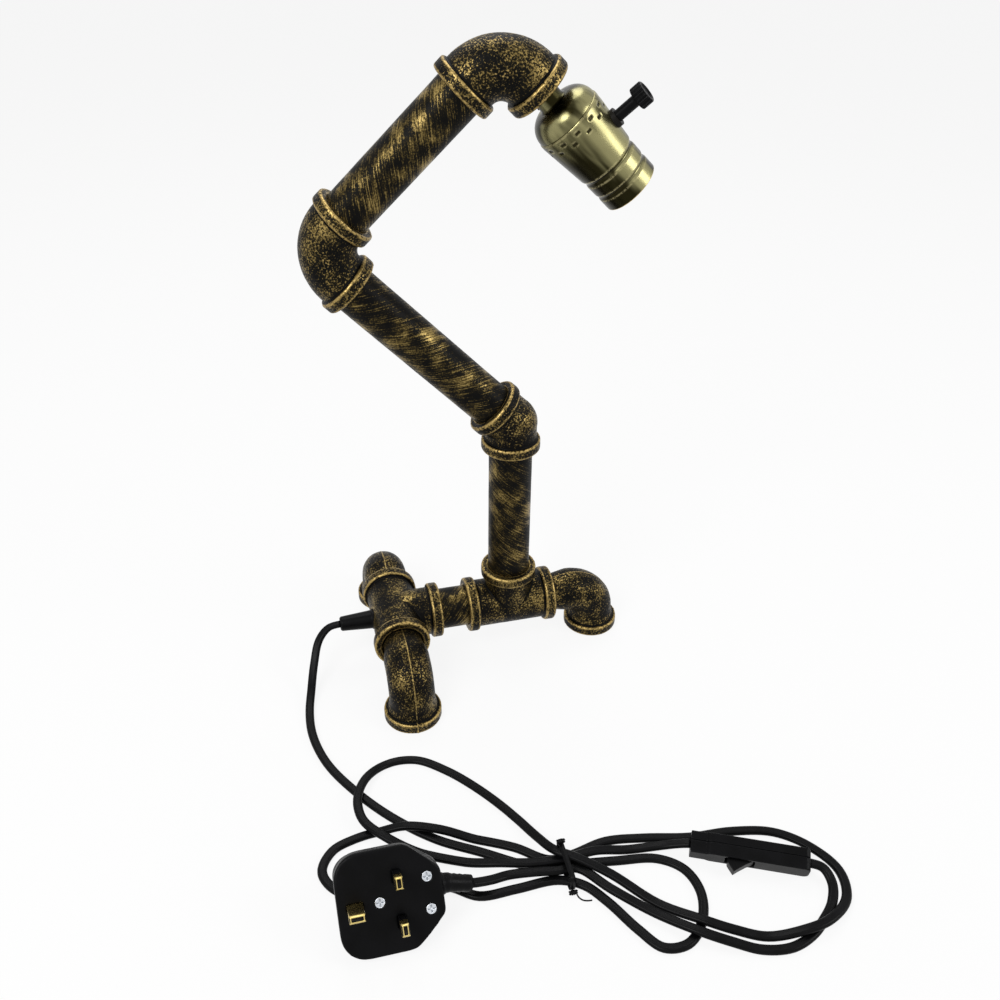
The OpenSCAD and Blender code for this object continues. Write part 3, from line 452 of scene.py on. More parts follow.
def startMaterial(name):
    material = bpy.data.materials.new(name)
    material.use_nodes = True
    tree = material.node_tree
    shader = tree.nodes["Principled BSDF"]
    return material, tree, shader


def useGroup(tree, group, **values):
    made = tree.nodes.new("ShaderNodeGroup")
    made.node_tree = group
    for key, value in values.items():
        made.inputs[key].default_value = value
    return made.outputs


def covered(tree, shader, colour, rough, height, distance):
    bump = add(tree, "Bump", {"Height": height, "Distance": distance * mm, "Strength": 1.0})
    for label, value in (("Base Color", colour), ("Roughness", rough), ("Normal", bump.outputs[0])):
        tree.links.new(value, shader.inputs[label])


# black enamel with antique gold rubbed over it: stippled on the castings, brushed round the pipes
finish = {
    "enamel": (0.0022, 0.0021, 0.0019, 1), "enamelWarm": (0.009, 0.0075, 0.004, 1),
    "goldDim": (0.065, 0.046, 0.015, 1), "gold": (0.30, 0.215, 0.075, 1), "goldEdge": (0.44, 0.31, 0.11, 1),
    "hollowTone": (0.0015, 0.0014, 0.0012, 1), "specular": 0.06,
    "goldMetal": 0.85, "goldPolish": 0.08, "goldRise": 0.3,
}


def makeRubbedIron(name, bump, **rubbed):
    material, tree, shader = startMaterial(name)
    rub = useGroup(tree, rubGroup, **rubbed)
    wear = useGroup(tree, wearGroup, Bright=0.8, Grime=1.0, Break=800)
    ground = mixed(tree, ramp(tree, rub["Patch"], 0.35, 0.7), finish["enamel"], finish["enamelWarm"])
    metal = mixed(tree, rub["Bright"], finish["goldDim"], finish["gold"])
    colour = mixed(tree, wear["Worn"], mixed(tree, rub["Gold"], ground, metal), finish["goldEdge"])
    # the hollows take a darker tone
    colour = mixed(tree, wear["Hollows"], colour, finish["hollowTone"])
    share = sums(tree, "MAXIMUM", rub["Gold"], wear["Worn"])
    tree.links.new(ramp(tree, share, 0, 1, 0.0, finish["goldMetal"]), shader.inputs["Metallic"])
    grain = useGroup(tree, grainGroup, Scale=1800, Spread=0.06, Level=0.43)
    rough = sums(tree, "SUBTRACT", grain["Rough"], sums(tree, "MULTIPLY", share, finish["goldPolish"]))
    shader.inputs["Specular IOR Level"].default_value = finish["specular"]
    rise = sums(tree, "MULTIPLY", share, finish["goldRise"])
    covered(tree, shader, colour, rough, sums(tree, "ADD", rub["Height"], rise), bump)
    return material


def makeMetal(name, dark, light, rough):
    material, tree, shader = startMaterial(name)
    grain = useGroup(tree, grainGroup, Scale=1500, Spread=0.08, Level=rough)
    wear = useGroup(tree, wearGroup, Bright=0.5, Grime=0.7, Break=900)
    colour = mixed(tree, ramp(tree, grain["Tone"], 0.3, 0.7), dark, light)
    colour = mixed(tree, wear["Worn"], colour, tuple(min(1, c * 1.35) for c in light[:3]) + (1,))
    # the hollows take a darker tone
    colour = mixed(tree, wear["Hollows"], colour, tuple(c * 0.25 for c in dark[:3]) + (1,))
    shader.inputs["Metallic"].default_value = 1.0
    covered(tree, shader, colour, grain["Rough"], grain["Height"], 0.02)
    return material


def makeMoulding(name, dark, light, rough, bump=0.03, scale=2200, specular=0.4):
    material, tree, shader = startMaterial(name)
    grain = useGroup(tree, grainGroup, Scale=scale, Spread=0.1, Level=rough)
    wear = useGroup(tree, wearGroup, Bright=0.35, Grime=0.5, Break=500)
    colour = mixed(tree, ramp(tree, grain["Tone"], 0.3, 0.7), dark, light)
    colour = mixed(tree, wear["Worn"], colour, tuple(min(1, c * 2.5) for c in light[:3]) + (1,))
    # the hollows take a darker tone
    colour = mixed(tree, wear["Hollows"], colour, tuple(c * 0.4 for c in dark[:3]) + (1,))
    shader.inputs["Specular IOR Level"].default_value = specular
    covered(tree, shader, colour, grain["Rough"], grain["Height"], bump)
    return material


# drawn-out clouds of patina and painted dark reflections: the turn sets which side of the holder is painted
# dark
patinaAndPaintedReflection = {
    "turn": 210, "scale": 68, "drawn": 0.16, "clear": 0.44, "full": 0.63,
    "dark": (0.016, 0.014, 0.005, 1), "light": (0.27, 0.25, 0.12, 1),
    "worn": (0.55, 0.48, 0.25, 1), "hollowTone": (0.022, 0.019, 0.008, 1),
}


def makeHolderBrass(name):
    material, tree, shader = startMaterial(name)
    grain = useGroup(tree, grainGroup, Scale=1400, Spread=0.07, Level=0.27)
    wear = useGroup(tree, wearGroup, Bright=0.4, Grime=0.95, Break=900)
    where = add(tree, "Attribute", attribute_name="own").outputs["Vector"]
    drawn = add(tree, "Mapping", {
        "Vector": where, "Rotation": (0, 0, math.radians(patinaAndPaintedReflection["turn"])), "Scale": (1, 1, patinaAndPaintedReflection["drawn"])})
    patinaAndReflectionCloud = clouds(tree, drawn.outputs[0], patinaAndPaintedReflection["scale"], 3)
    # the dark clouds are partly the brass's patina and partly painted dark reflections, darker on one side
    colour = mixed(tree, ramp(tree, patinaAndReflectionCloud, patinaAndPaintedReflection["clear"], patinaAndPaintedReflection["full"]), patinaAndPaintedReflection["dark"], patinaAndPaintedReflection["light"])
    colour = mixed(tree, wear["Worn"], colour, patinaAndPaintedReflection["worn"])
    # the hollows take a darker tone
    colour = mixed(tree, wear["Hollows"], colour, patinaAndPaintedReflection["hollowTone"])
    shader.inputs["Metallic"].default_value = 1.0
    shader.inputs["Anisotropic"].default_value = 0.3
    covered(tree, shader, colour, grain["Rough"], grain["Height"], 0.012)
    return material


materials = {
    "cast": makeRubbedIron("cast iron rubbed gold", 0.10, Scale=950, Speckle=1,
                           Cover=0.445, Patch=0.5, Edge=0.08),
    "pipe": makeRubbedIron("pipe brushed gold", 0.05, Scale=1050, Twist=98, Stretch=0.10, Speckle=0.38,
                           Cover=0.455, Patch=0.55, Edge=0.08),
    "holder": makeHolderBrass("antique brass"),
    "brass": makeMetal("bright brass", (0.42, 0.29, 0.09, 1), (0.58, 0.42, 0.16, 1), 0.28),
    "pins": makeMetal("pin brass", (0.50, 0.38, 0.12, 1), (0.62, 0.49, 0.18, 1), 0.26),
    "copper": makeMetal("contact copper", (0.45, 0.19, 0.09, 1), (0.62, 0.30, 0.16, 1), 0.32),
    "steel": makeMetal("zinc plate", (0.50, 0.53, 0.57, 1), (0.68, 0.71, 0.75, 1), 0.24),
    "plastic": makeMoulding("black moulding", (0.0018, 0.0018, 0.002, 1), (0.003, 0.003, 0.0035, 1), 0.34,
                            specular=0.07),
    "cord": makeMoulding("cord covering", (0.0022, 0.0022, 0.0024, 1), (0.0035, 0.0035, 0.004, 1), 0.34,
                         0.04, 3200, 0.08),
    "insulator": makeMoulding("insulator", (0.004, 0.0035, 0.003, 1), (0.008, 0.007, 0.006, 1), 0.45,
                              specular=0.1),
    "fibre": makeMoulding("fibre", (0.20, 0.15, 0.09, 1), (0.30, 0.23, 0.14, 1), 0.75, 0.08, 1200),
    "ceramic": makeMoulding("fuse ceramic", (0.62, 0.60, 0.54, 1), (0.70, 0.68, 0.62, 1), 0.35),
}
print("materials made:", len(materials))

makeCamera()


# the flat two-core cord in millimetres: round cores side by side with a groove between them
cordSizes = {"width": 5.4, "thickness": 3.4, "lowest": 1.75, "steps": 7, "perCore": 9,
             "toSwitch": 1.48, "toPlug": 0.245}
switchSizes = {"length": 64, "turn": -25, "lean": 18, "width": 12, "depth": 12, "x": 100.2, "y": -212.5}
plugSizes = {"x": -99.7, "y": -206.8, "tilt": 48, "exitDrop": 20}
floorGap = 0.05  # the switch and the plug stay this clear of the floor

# the same routes that the solids follow
routeFromLamp = [
    (-103, -1, 30), (-110, -6, 25), (-115, -16, 15), (-119, -30, 6), (-122, -46, 2), (-122, -66, 1.8),
    (-116, -90, 1.8), (-103, -114, 1.8), (-85, -138, 1.8), (-63, -159, 1.8), (-40, -173.5, 1.8),
    (-20, -186.5, 1.8), (-5, -193, 1.8), (7, -193, 1.8)]
routeSmallLoop = [
    (30, -196, 1.8), (52, -200, 1.8), (64, -210, 1.8), (67, -225, 1.8), (61, -241, 1.8), (49, -251.5, 1.8),
    (36, -250.5, 1.8), (27, -238, 1.8), (17, -219, 1.8), (8, -206.5, 1.8), (-5, -200, 1.8)]
routePlugLoop = [
    (-28, -200, 1.8), (-48, -199.5, 1.8), (-60, -191.5, 1.8), (-70, -186.5, 1.8), (-86, -184.5, 1.8),
    (-106, -184, 1.8), (-121, -178, 1.8), (-127, -165, 1.8), (-120, -153, 1.8), (-107, -148, 1.8),
    (-93, -146.5, 1.9), (-79, -149, 5.8), (-60, -155.5, 5.2), (-42, -164, 1.8), (-22, -174.5, 1.8),
    (-6, -186.5, 1.8), (7, -186.5, 1.8)]
routeWideLoop = [
    (28, -182.5, 1.8), (50, -185.5, 1.8), (75, -191, 1.8), (100, -193, 1.8), (122, -199, 1.8),
    (137, -212, 1.8), (145.5, -230, 1.8), (140.5, -247, 3), (125, -258, 5.6), (108, -260.5, 5.4),
    (90, -257.5, 2), (74, -251, 4.2), (60.5, -243, 5.6), (42, -227, 3), (23, -206.5, 6.4), (7, -193.5, 9)]
routeUpperLoop = [
    (-3, -186, 9), (-9, -172, 4.5), (-17, -154, 1.8), (-31, -132, 1.8), (-48, -112, 1.8), (-64, -100, 1.8),
    (-81, -99, 1.8), (-95, -109, 4.6), (-102, -124, 5.6), (-101, -139, 5.4), (-91, -153, 5.6),
    (-73, -166, 1.8), (-50, -177.5, 1.8), (-32, -184.5, 5), (-18, -188.5, 5.6), (-5, -190, 5.4),
    (7, -190, 5.4)]
routeIntoSwitch = [(20, -189, 4.8), (38, -190.5, 1.8), (57, -193.5, 3.4), (65, -196.2, 5.8)]
routeFromSwitch = [
    (135.5, -230, 6.4), (137, -238, 3.4), (132, -247.5, 1.8), (123, -255.5, 1.8), (112, -262.5, 1.8),
    (99, -266, 1.8), (84, -263.5, 2), (70, -257, 4.2), (55.5, -248, 5.6), (38, -231.5, 3.4),
    (20, -214, 5.4), (7, -198, 5.4), (-5, -196.5, 5.4), (-16, -194.5, 5.2), (-30, -192.5, 4.4),
    (-40.5, -194.8, 6.8)]


def twoCoreOutline():
    r = cordSizes["thickness"] / 2
    out = cordSizes["width"] / 2 - r
    meet = math.acos(-out / r)
    count = cordSizes["perCore"]
    right = [-meet + 2 * meet * k / (count - 1) for k in range(count)]
    outline = [(out + r * math.cos(a), r * math.sin(a)) for a in right]
    return outline + [(-out - r * math.cos(a), -r * math.sin(a)) for a in right[1:-1]]


def placeSwitch():
    lean = math.radians(switchSizes["lean"])
    rest = switchSizes["width"] / 2 * math.cos(lean) + switchSizes["depth"] / 2 * math.sin(lean)
    centre = shift(switchSizes["x"], switchSizes["y"], rest + floorGap)
    return centre @ turned(switchSizes["turn"], "Z") @ turned(90 + switchSizes["lean"], "X")


def makeCord(name, route, start, end):
    line = smoothLine(route, cordSizes["steps"], start, end)
    for p in line:
        p.z = max(p.z, cordSizes["lowest"])
    return sweep(name, line, twoCoreOutline(), start, end), line


atSwitch = placeSwitch()
switchAxis = (atSwitch.to_3x3() @ Vector((1, 0, 0))).normalized()
switchIn = atSwitch @ Vector((-switchSizes["length"] / 2 * mm, 0, 0)) / mm
switchOut = atSwitch @ Vector((switchSizes["length"] / 2 * mm, 0, 0)) / mm
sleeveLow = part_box("cord_sleeve")[0]
lampExit = Vector((sleeveLow.x, 0, stand * mm)) / mm
drop = math.radians(plugSizes["exitDrop"])
plugAxis = Vector((math.cos(drop), 0, -math.sin(drop)))
print("cord ends:", tuple(lampExit), tuple(switchIn), tuple(switchOut))

plugHalf = {"width": 26, "base": 8, "y0": -31.5, "bossZ": -13, "neck": 2.8, "sleeve": 14}
plugRise = plugHalf["width"] * math.sin(math.radians(plugSizes["tilt"]))
plugRise += plugHalf["base"] * math.cos(math.radians(plugSizes["tilt"])) + floorGap
atPlug = shift(plugSizes["x"], plugSizes["y"], plugRise) @ turned(plugSizes["tilt"], "X") @ turned(90, "Z")
plugRoot = atPlug @ (Vector((0, plugHalf["y0"], plugHalf["bossZ"])) * mm) / mm
plugBend = plugRoot + Vector((plugHalf["neck"], 0, 0))
plugExit = plugBend + plugAxis * plugHalf["sleeve"]

lampRoute = [lampExit] + routeFromLamp + routeSmallLoop + routePlugLoop + routeWideLoop + routeUpperLoop
lampRoute += routeIntoSwitch + [switchIn]
lampCord, lampLine = makeCord("lampCord", lampRoute, (-1, 0, 0), switchAxis)
plugCord, plugLine = makeCord("plugCord", [switchOut] + routeFromSwitch + [plugExit], switchAxis, -plugAxis)
dress(lampCord, materials["cord"], "base", "cord_pvc", "cord_to_switch")
dress(plugCord, materials["cord"], "base", "cord_pvc", "cord_to_plug")
for name, line in (("to switch", lampLine), ("to plug", plugLine)):
    print("cord", name, round(sum((b - a).length for a, b in zip(line, line[1:])) / 1000, 4), "m")


# the twist tie round the bundle: a ribbon with a wire in it, its ends twisted at top and bottom
tie = {"x": 1, "y": -195.1, "halfWidth": 13.1, "low": 0.05, "top": 11.9, "corner": 3, "ribbon": 3,
       "wire": 0.42, "twist": 2.3, "perTurn": 14, "pairRadius": 0.85, "strand": 0.62, "beadLength": 4.2}
slanted = Vector((0.1, 0.2, 1))  # a level that no strand of the tie runs along


def ring(radius, count):
    return [(radius * math.cos(2 * math.pi * k / count), radius * math.sin(2 * math.pi * k / count))
            for k in range(count)]


def twistedPair(name, centre, axis, length):
    across = Vector((0, 0, 1)).cross(axis).normalized()
    up = axis.cross(across)
    turns = length / tie["twist"]
    count = int(turns * tie["perTurn"])
    pieces = []
    for half, strand in ((0, "B"), (math.pi, "A")):
        line = []
        for k in range(count + 1):
            t = k / count
            a = half + 2 * math.pi * turns * t
            r = tie["pairRadius"] * math.sin(math.pi * (0.12 + 0.76 * t)) ** 0.5  # closes in at both ends
            line.append(centre + axis * length * (t - 0.5) + across * r * math.cos(a) + up * r * math.sin(a))
        pieces.append(sweep(name + strand, line, ring(tie["strand"], 8), level=slanted))
    return pieces


def makeTie():
    w, low, top = tie["halfWidth"] - 0.5, tie["low"] + 0.45, tie["top"] - 0.45
    loop = rounded([(-w, low), (w, low), (w, top), (-w, top)], tie["corner"], 6)
    loop = stepped(loop, 1.2)
    line = [Vector((tie["x"], tie["y"] + y, z)) for y, z in loop]
    half = tie["ribbon"] / 2
    ribbon = [(-0.12, -half), (0.12, -half), (0.14, -0.5), (tie["wire"], -0.25), (tie["wire"], 0.25),
              (0.14, 0.5), (0.12, half), (-0.12, half), (-0.14, 0.5), (-tie["wire"], 0.25),
              (-tie["wire"], -0.25), (-0.14, -0.5)]
    band = sweep("tieBand", line, ribbon, closed=True, level=Vector((1, 0, 0)))
    ahead = Vector((1, 0, 0))
    topBead = Vector((tie["x"], tie["y"] + tie["halfWidth"] - 2.6, tie["top"] + 1.2))
    lowBead = Vector((tie["x"], tie["y"] - tie["halfWidth"] - 1.1, 1.9))
    pieces = [band] + twistedPair("tieTop", topBead, ahead, tie["beadLength"])
    pieces += twistedPair("tieLow", lowBead, ahead, tie["beadLength"])
    bend = [(1.5, -0.5, -0.4), (2.2, -2.6, -1.2), (3.8, -4.6, -1.4), (6.2, -5.6, -1.4), (8.6, -5.9, -1.4)]
    tail = [lowBead + Vector(p) for p in bend]
    pieces.append(sweep("tieTail", smoothLine(tail, 6), ring(tie["wire"], 8), level=slanted))
    for piece in pieces:
        dress(piece, materials["cord"], "base", "cord_pvc")
    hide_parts("cord_tie")
    return pieces


tiePieces = makeTie()


# in-line switch: two moulded halves with soft edges, and the rocker between them
def makeSwitch():
    pieces = []
    for node, name in (("inline_switch_back", "switchBack"), ("inline_switch_front", "switchFront")):
        half = softened(node, name, 0.28, 9, atSwitch)
        markEdges(half.data, 0.08, 8)
        pieces.append(dress(half, materials["plastic"], "base", "black_plastic", node))
    lever = softened("rocker", "switchRocker", 0.2, 7, atSwitch)
    markEdges(lever.data, 0.06, 8)
    dress(lever, materials["plastic"], "rocker", "black_plastic", "rocker")
    return pieces, lever


switchPieces, switchLever = makeSwitch()


# plug: base and cover with rounded corners, chamfered pins, crossed screws and the bent sleeve
def loft(name, rings, place):
    count = len(rings[0])
    points = [p for r in rings for p in r]
    faces = [tuple(reversed(range(count)))]
    for k in range(len(rings) - 1):
        for i in range(count):
            j = (i + 1) % count
            faces.append((k * count + i, k * count + j, (k + 1) * count + j, (k + 1) * count + i))
    faces.append(tuple((len(rings) - 1) * count + i for i in range(count)))
    return makePiece(name, [Vector(p) * mm for p in points], faces, place)


def pinRing(centre, wide, deep, z, inset):
    w, d = wide / 2 - inset, deep / 2 - inset
    outline = rounded([(-w, -d), (w, -d), (w, d), (-w, d)], min(0.5, w * 0.4, d * 0.4), 3)
    return [(centre[0] + x, centre[1] + y, z) for x, y in outline]


livePin = {"root": (5.65, 3.3), "tip": (6.35, 4), "sleeve": 9.55, "length": 17.7}
pinSizes = {
    "earth_pin": {"at": (0, 13.5), "root": (4, 8), "tip": (4, 8), "sleeve": None, "length": 22.7},
    "line_pin": {"at": (-11.1, -8.7), **livePin},
    "neutral_pin": {"at": (11.1, -8.7), **livePin},
}
pinRoot = -14  # how far a pin reaches into the plug
pinStep = 0.12  # the chamfer where a live pin's sleeve ends
# a pin's end: how far below it and how far in from the sides, down into the recess
pinEnd = [(1.1, 0), (0.9, 0.05), (0.08, 0.55), (0, 0.68), (0, 0.98), (0.1, 1.05), (0.7, 1.1)]


def makePin(node, pin):
    end = pin["length"]
    levels = [(pinRoot, pin["root"], 0)]
    if pin["sleeve"]:
        levels += [(pin["sleeve"], pin["root"], 0), (pin["sleeve"], pin["tip"], pinStep),
                   (pin["sleeve"] + pinStep, pin["tip"], 0)]
    levels += [(end - below, pin["tip"], inset) for below, inset in pinEnd]
    rings = [pinRing(pin["at"], size[0], size[1], z, inset) for z, size, inset in levels]
    piece = loft(node + "Tipped", rings, atPlug)
    low, high, inner = (end - 0.95) * mm, (end - 0.05) * mm, pin["tip"][0] / 2 - 0.9
    recess = []
    for face in piece.data.polygons:
        heights = [piece.data.vertices[v].co.z for v in face.vertices]
        if low < min(heights) and max(heights) < high and abs(face.center.x / mm - pin["at"][0]) < inner:
            recess.append(face.index)
    dress(piece, materials["pins"], "base", "pin_brass", node)
    twoTone(piece, materials["insulator"], recess)
    return piece


def rimOnly(co):
    reach = np.maximum(np.abs(co[:, 0]) / 26, np.abs(co[:, 1] + 4.5) / 27)
    return np.clip((reach - 0.8) / 0.1, 0.12, 1)


def makePlug():
    base = softened("plug_base", "plugBase", 0.4, 40, atPlug, rimOnly)
    cover = softened("plug_cover", "plugCover", 0.45, 45, atPlug)
    screws = softened("plug_screws", "plugScrews", 0.15, 3, atPlug)
    for piece in (base, cover, screws):
        markEdges(piece.data, 0.1, 8)
    dress(base, materials["plastic"], "base", "black_plastic", "plug_base")
    dress(cover, materials["plastic"], "base", "black_plastic", "plug_cover")
    dress(screws, materials["steel"], "base", "plated_steel", "plug_screws")
    return [base, cover, screws] + [makePin(node, pin) for node, pin in pinSizes.items()]


def makeTube(name, line, radii, sides=40):
    piece = sweep(name, line, ring(1, sides))
    count = len(line)
    co = points3(piece.data)
    middles = np.array([tuple(p) for p in line]) * mm
    for k in range(count):
        own = slice(k * sides, (k + 1) * sides)
        co[own] = middles[k] + (co[own] - middles[k]) * radii[k]
    setPoints(piece.data, co)
    return piece


def makePlugSleeve():
    line, radii = [], []
    straight = [(-2, 4.4), (-0.02, 4.4), (0, 5.4), (0.3, 5.6), (1.4, 5.6), (1.7, 5.35)]
    for out, r in straight:
        line.append(plugRoot + Vector((out, 0, 0)))
        radii.append(r)
    for k in range(1, 5):
        a = drop * k / 5
        line.append(plugBend + Vector((math.cos(a), 0, -math.sin(a))) * 0.4 * (k - 2))
        radii.append(5.05)
    for k in range(9):
        t = k / 8
        line.append(plugBend + plugAxis * (1.4 + (plugHalf["sleeve"] - 1.4) * t))
        radii.append(4.95 - 0.65 * t - (0.28 if k % 2 and k < 7 else 0))
    line.append(plugExit + plugAxis * 0.02)
    radii.append(3.7)
    piece = makeTube("plugSleeve", line, radii)
    return dress(piece, materials["cord"], "base", "black_plastic", "plug_sleeve")


plugPieces = makePlug() + [makePlugSleeve()]
print("cords, switch and plug made")


# castings: cast edges, an uneven skin, a parting line, and rough patches beside the three upper elbows
casting = {"grid": 0.45, "rounds": 3, "skin": 0.09, "skinScale": 5.5, "fineScale": 1.9, "pitScale": 0.9,
           "fade": 0.6, "seamWidth": 0.42}
seamHeights = {"tee": 0.1, "foot": 0.2, "half": 0.12, "elbow": 0.12}
skinStarts = {"tee": 14, "foot": 11.5, "half": 14, "elbow": 14}  # distance from the centre line
pitShift = Vector((7, 3, 1))  # so that the patches don't repeat the skin's noise


def straightRun(direction, first, last, count):
    return [tuple(d * t for d in direction) for t in np.linspace(first, last, count)]


def centreLine(kind):
    p, reach = pipework, pipework["faceReach"]
    if kind == "tee":
        return np.array(straightRun((1, 0, 0), -reach, reach, 40) + straightRun((0, 0, 1), 0, reach, 20))
    if kind == "half":
        reach, aside, up = p["halfReach"], -math.sin(math.pi / 4), math.cos(math.pi / 4)
        return np.array(straightRun((0, 0, -1), 0, reach, 14) + straightRun((aside, 0, up), 0, reach, 14))
    if kind == "foot":
        bend = p["footBend"]
        turns = np.linspace(0, math.pi / 2, 20)
        arc = [(-bend + bend * math.sin(a), 0, -bend + bend * math.cos(a)) for a in turns]
        down = straightRun((0, 0, -1), bend, p["standHeight"], 10)
        return np.array(down + straightRun((-1, 0, 0), bend, p["footTail"], 16) + arc)
    bend = p["elbowBend"]
    turns = np.linspace(0, math.pi / 2, 24)
    arc = [(bend - bend * math.cos(a), 0, -bend + bend * math.sin(a)) for a in turns]
    return np.array(arc + straightRun((0, 0, -1), bend, reach, 8) + straightRun((1, 0, 0), bend, reach, 8))


def makeCasting(node, name, body, place, kind, marks=()):
    piece = softened(node, name, casting["grid"], casting["rounds"], place)
    mesh = piece.data
    co, normal = points3(mesh) / mm, normals3(mesh)
    line = centreLine(kind)
    reach = np.min(np.linalg.norm(co[:, None, :] - line[None, :, :], axis=2), axis=1)
    outside = np.clip((reach - skinStarts[kind]) / casting["fade"], 0, 1)
    broad = np.array([noise.noise(Vector(p) / casting["skinScale"]) for p in co])
    fine = np.array([noise.noise(Vector(p) / casting["fineScale"]) for p in co])
    rise = (broad + 0.5 * fine) * casting["skin"] * outside
    onSeam = 1 - np.abs(normal[:, 1]) > 0.4  # not where the skin faces sideways
    rise += seamHeights[kind] * np.exp(-(co[:, 1] / casting["seamWidth"]) ** 2) * outside * onSeam
    for x, y, z, radius, height in marks:
        off = np.linalg.norm(co - np.array((x, y, z)), axis=1) / radius
        pits = [noise.noise(Vector(p) / casting["pitScale"] + pitShift) if o < 1 else 0
                for p, o in zip(co, off)]
        rise += np.clip(1 - off, 0, 1) ** 0.5 * (0.5 + np.array(pits)) * height * outside
    setPoints(mesh, (co + normal * rise[:, None]) * mm)
    markEdges(mesh, 0.10, 9)
    return dress(piece, materials["cast"], body, "cast_fittings", node)


# the patches' middles, radius and height
side = pipework["bodyRadius"]
elbowMarks = [(7, s * side, -7, 7, 0.35) for s in (-1, 1)]
halfMarks = [(-3, s * side, 2, 6, 0.3) for s in (-1, 1)]
branchRound = Matrix.Rotation(math.radians(120), 4, Vector((1, 1, 1)))  # the branch towards x
makeCasting("right_tee", "rightTee", "base", atRightTee, "tee")
makeCasting("left_tee", "leftTee", "base", atLeftTee @ branchRound, "tee")
makeCasting("right_foot_elbow", "rightFoot", "base", atRightFoot, "foot")
makeCasting("front_foot_elbow", "frontFoot", "base", atFrontFoot, "foot")
makeCasting("rear_foot_elbow", "rearFoot", "base", atRearFoot, "foot")
makeCasting("half_elbow", "halfElbow", "stem", atHalf, "half", halfMarks)
makeCasting("middle_elbow", "middleElbow", "forearm", atMiddle, "elbow", elbowMarks)
makeCasting("top_elbow", "topElbow", "head", atTop, "elbow", elbowMarks)
print("castings made")


pipeSkin = {"edge": 0.5, "step": 3, "rise": 0.05, "around": 2, "along": 9, "outside": 12, "sides": 128}


def makePipe(node, name, body, place, start, length):
    outline = [(start, pipework["bore"]), (start, pipework["pipeRadius"]),
               (start + length, pipework["pipeRadius"]), (start + length, pipework["bore"])]
    outline = stepped(rounded(outline, pipeSkin["edge"]), pipeSkin["step"])
    wide = pipeSkin["around"]

    def uneven(z, r, angle):
        at = Vector((math.cos(angle) * wide, math.sin(angle) * wide, z / pipeSkin["along"]))
        return r + pipeSkin["rise"] * (noise.noise(at) - 0.5) * (r > pipeSkin["outside"])

    piece = lathe(name, outline, place, pipeSkin["sides"], shape=uneven)
    return dress(piece, materials["pipe"], body, "pipe", node)


makePipe("base_nipple", "baseNipple", "base", atLeftTee @ turned(90, "Y"), seat, pipework["nipple"])
makePipe("riser_pipe", "riserPipe", "stem", atStem, seat + gap, pipework["riser"])
makePipe("lower_arm_pipe", "lowerArmPipe", "stem", atLower, halfSeat, pipework["lowerArm"])
makePipe("upper_arm_pipe", "upperArmPipe", "forearm", atUpper, seat, pipework["upperArm"])
print("pipes made")


# lamp holder along its own axis: z = 0 at the top elbow's face
holder = {"stud": 5.05, "neck": 7.1, "neckTop": 8, "dome": 10.5, "radius": 18.9, "shell": 51, "mouth": 16,
          "sheet": 0.7, "skirt": 9, "knobDrop": 17, "knobTurn": 12, "bore": 13.25, "boreLength": 22,
          "thread": 3.63, "threadDepth": 0.32, "threadSheet": 0.4, "contactHole": 6, "socketEnd": 8.5}
crimps = {"count": 12, "first": 3, "rowGap": 3.6, "middle": 0.7, "halfLength": 1.1,
          "halfWidth": 1.9, "depth": 0.65}
shellTop = holder["neckTop"] + holder["dome"]
shellEnd = shellTop + holder["shell"]
knobZ = shellTop + holder["knobDrop"]
capRadius = holder["radius"] - 0.5
skirtRadius = holder["radius"] - holder["sheet"] - 0.6
atKnob = atHead @ shift(z=knobZ) @ turned(180 + holder["knobTurn"], "Z") @ turned(90, "Y")


def dome(innerRadius, outerRadius, start, degrees):
    a = math.radians(degrees)
    along = start + (shellTop - start) * (1 - math.cos(a))
    return along, innerRadius + (outerRadius - innerRadius) * math.sin(a)


def makeCap():
    h = holder
    lining, skirtEnd = skirtRadius - h["sheet"], shellTop + h["skirt"]
    outline = [(-1, h["stud"]), (-1, h["neck"] - 0.4), (-0.6, h["neck"]), (h["neckTop"] - 1.2, h["neck"])]
    outline += [dome(h["neck"] + 0.8, capRadius, h["neckTop"], a) for a in range(0, 91, 5)]
    outline += [(shellTop, skirtRadius), (skirtEnd, skirtRadius), (skirtEnd, lining)]
    outline += [dome(h["neck"], lining, h["neckTop"] + h["sheet"], a) for a in range(90, -1, -10)]
    outline += [(h["neckTop"] + 3, h["neck"]), (h["neckTop"] + 3, h["stud"])]
    piece = lathe("holderCap", stepped(rounded(outline, 0.35, 2), 0.7), atHead, 160)
    return dress(piece, materials["holder"], "head", "antique_brass", "holder_cap")


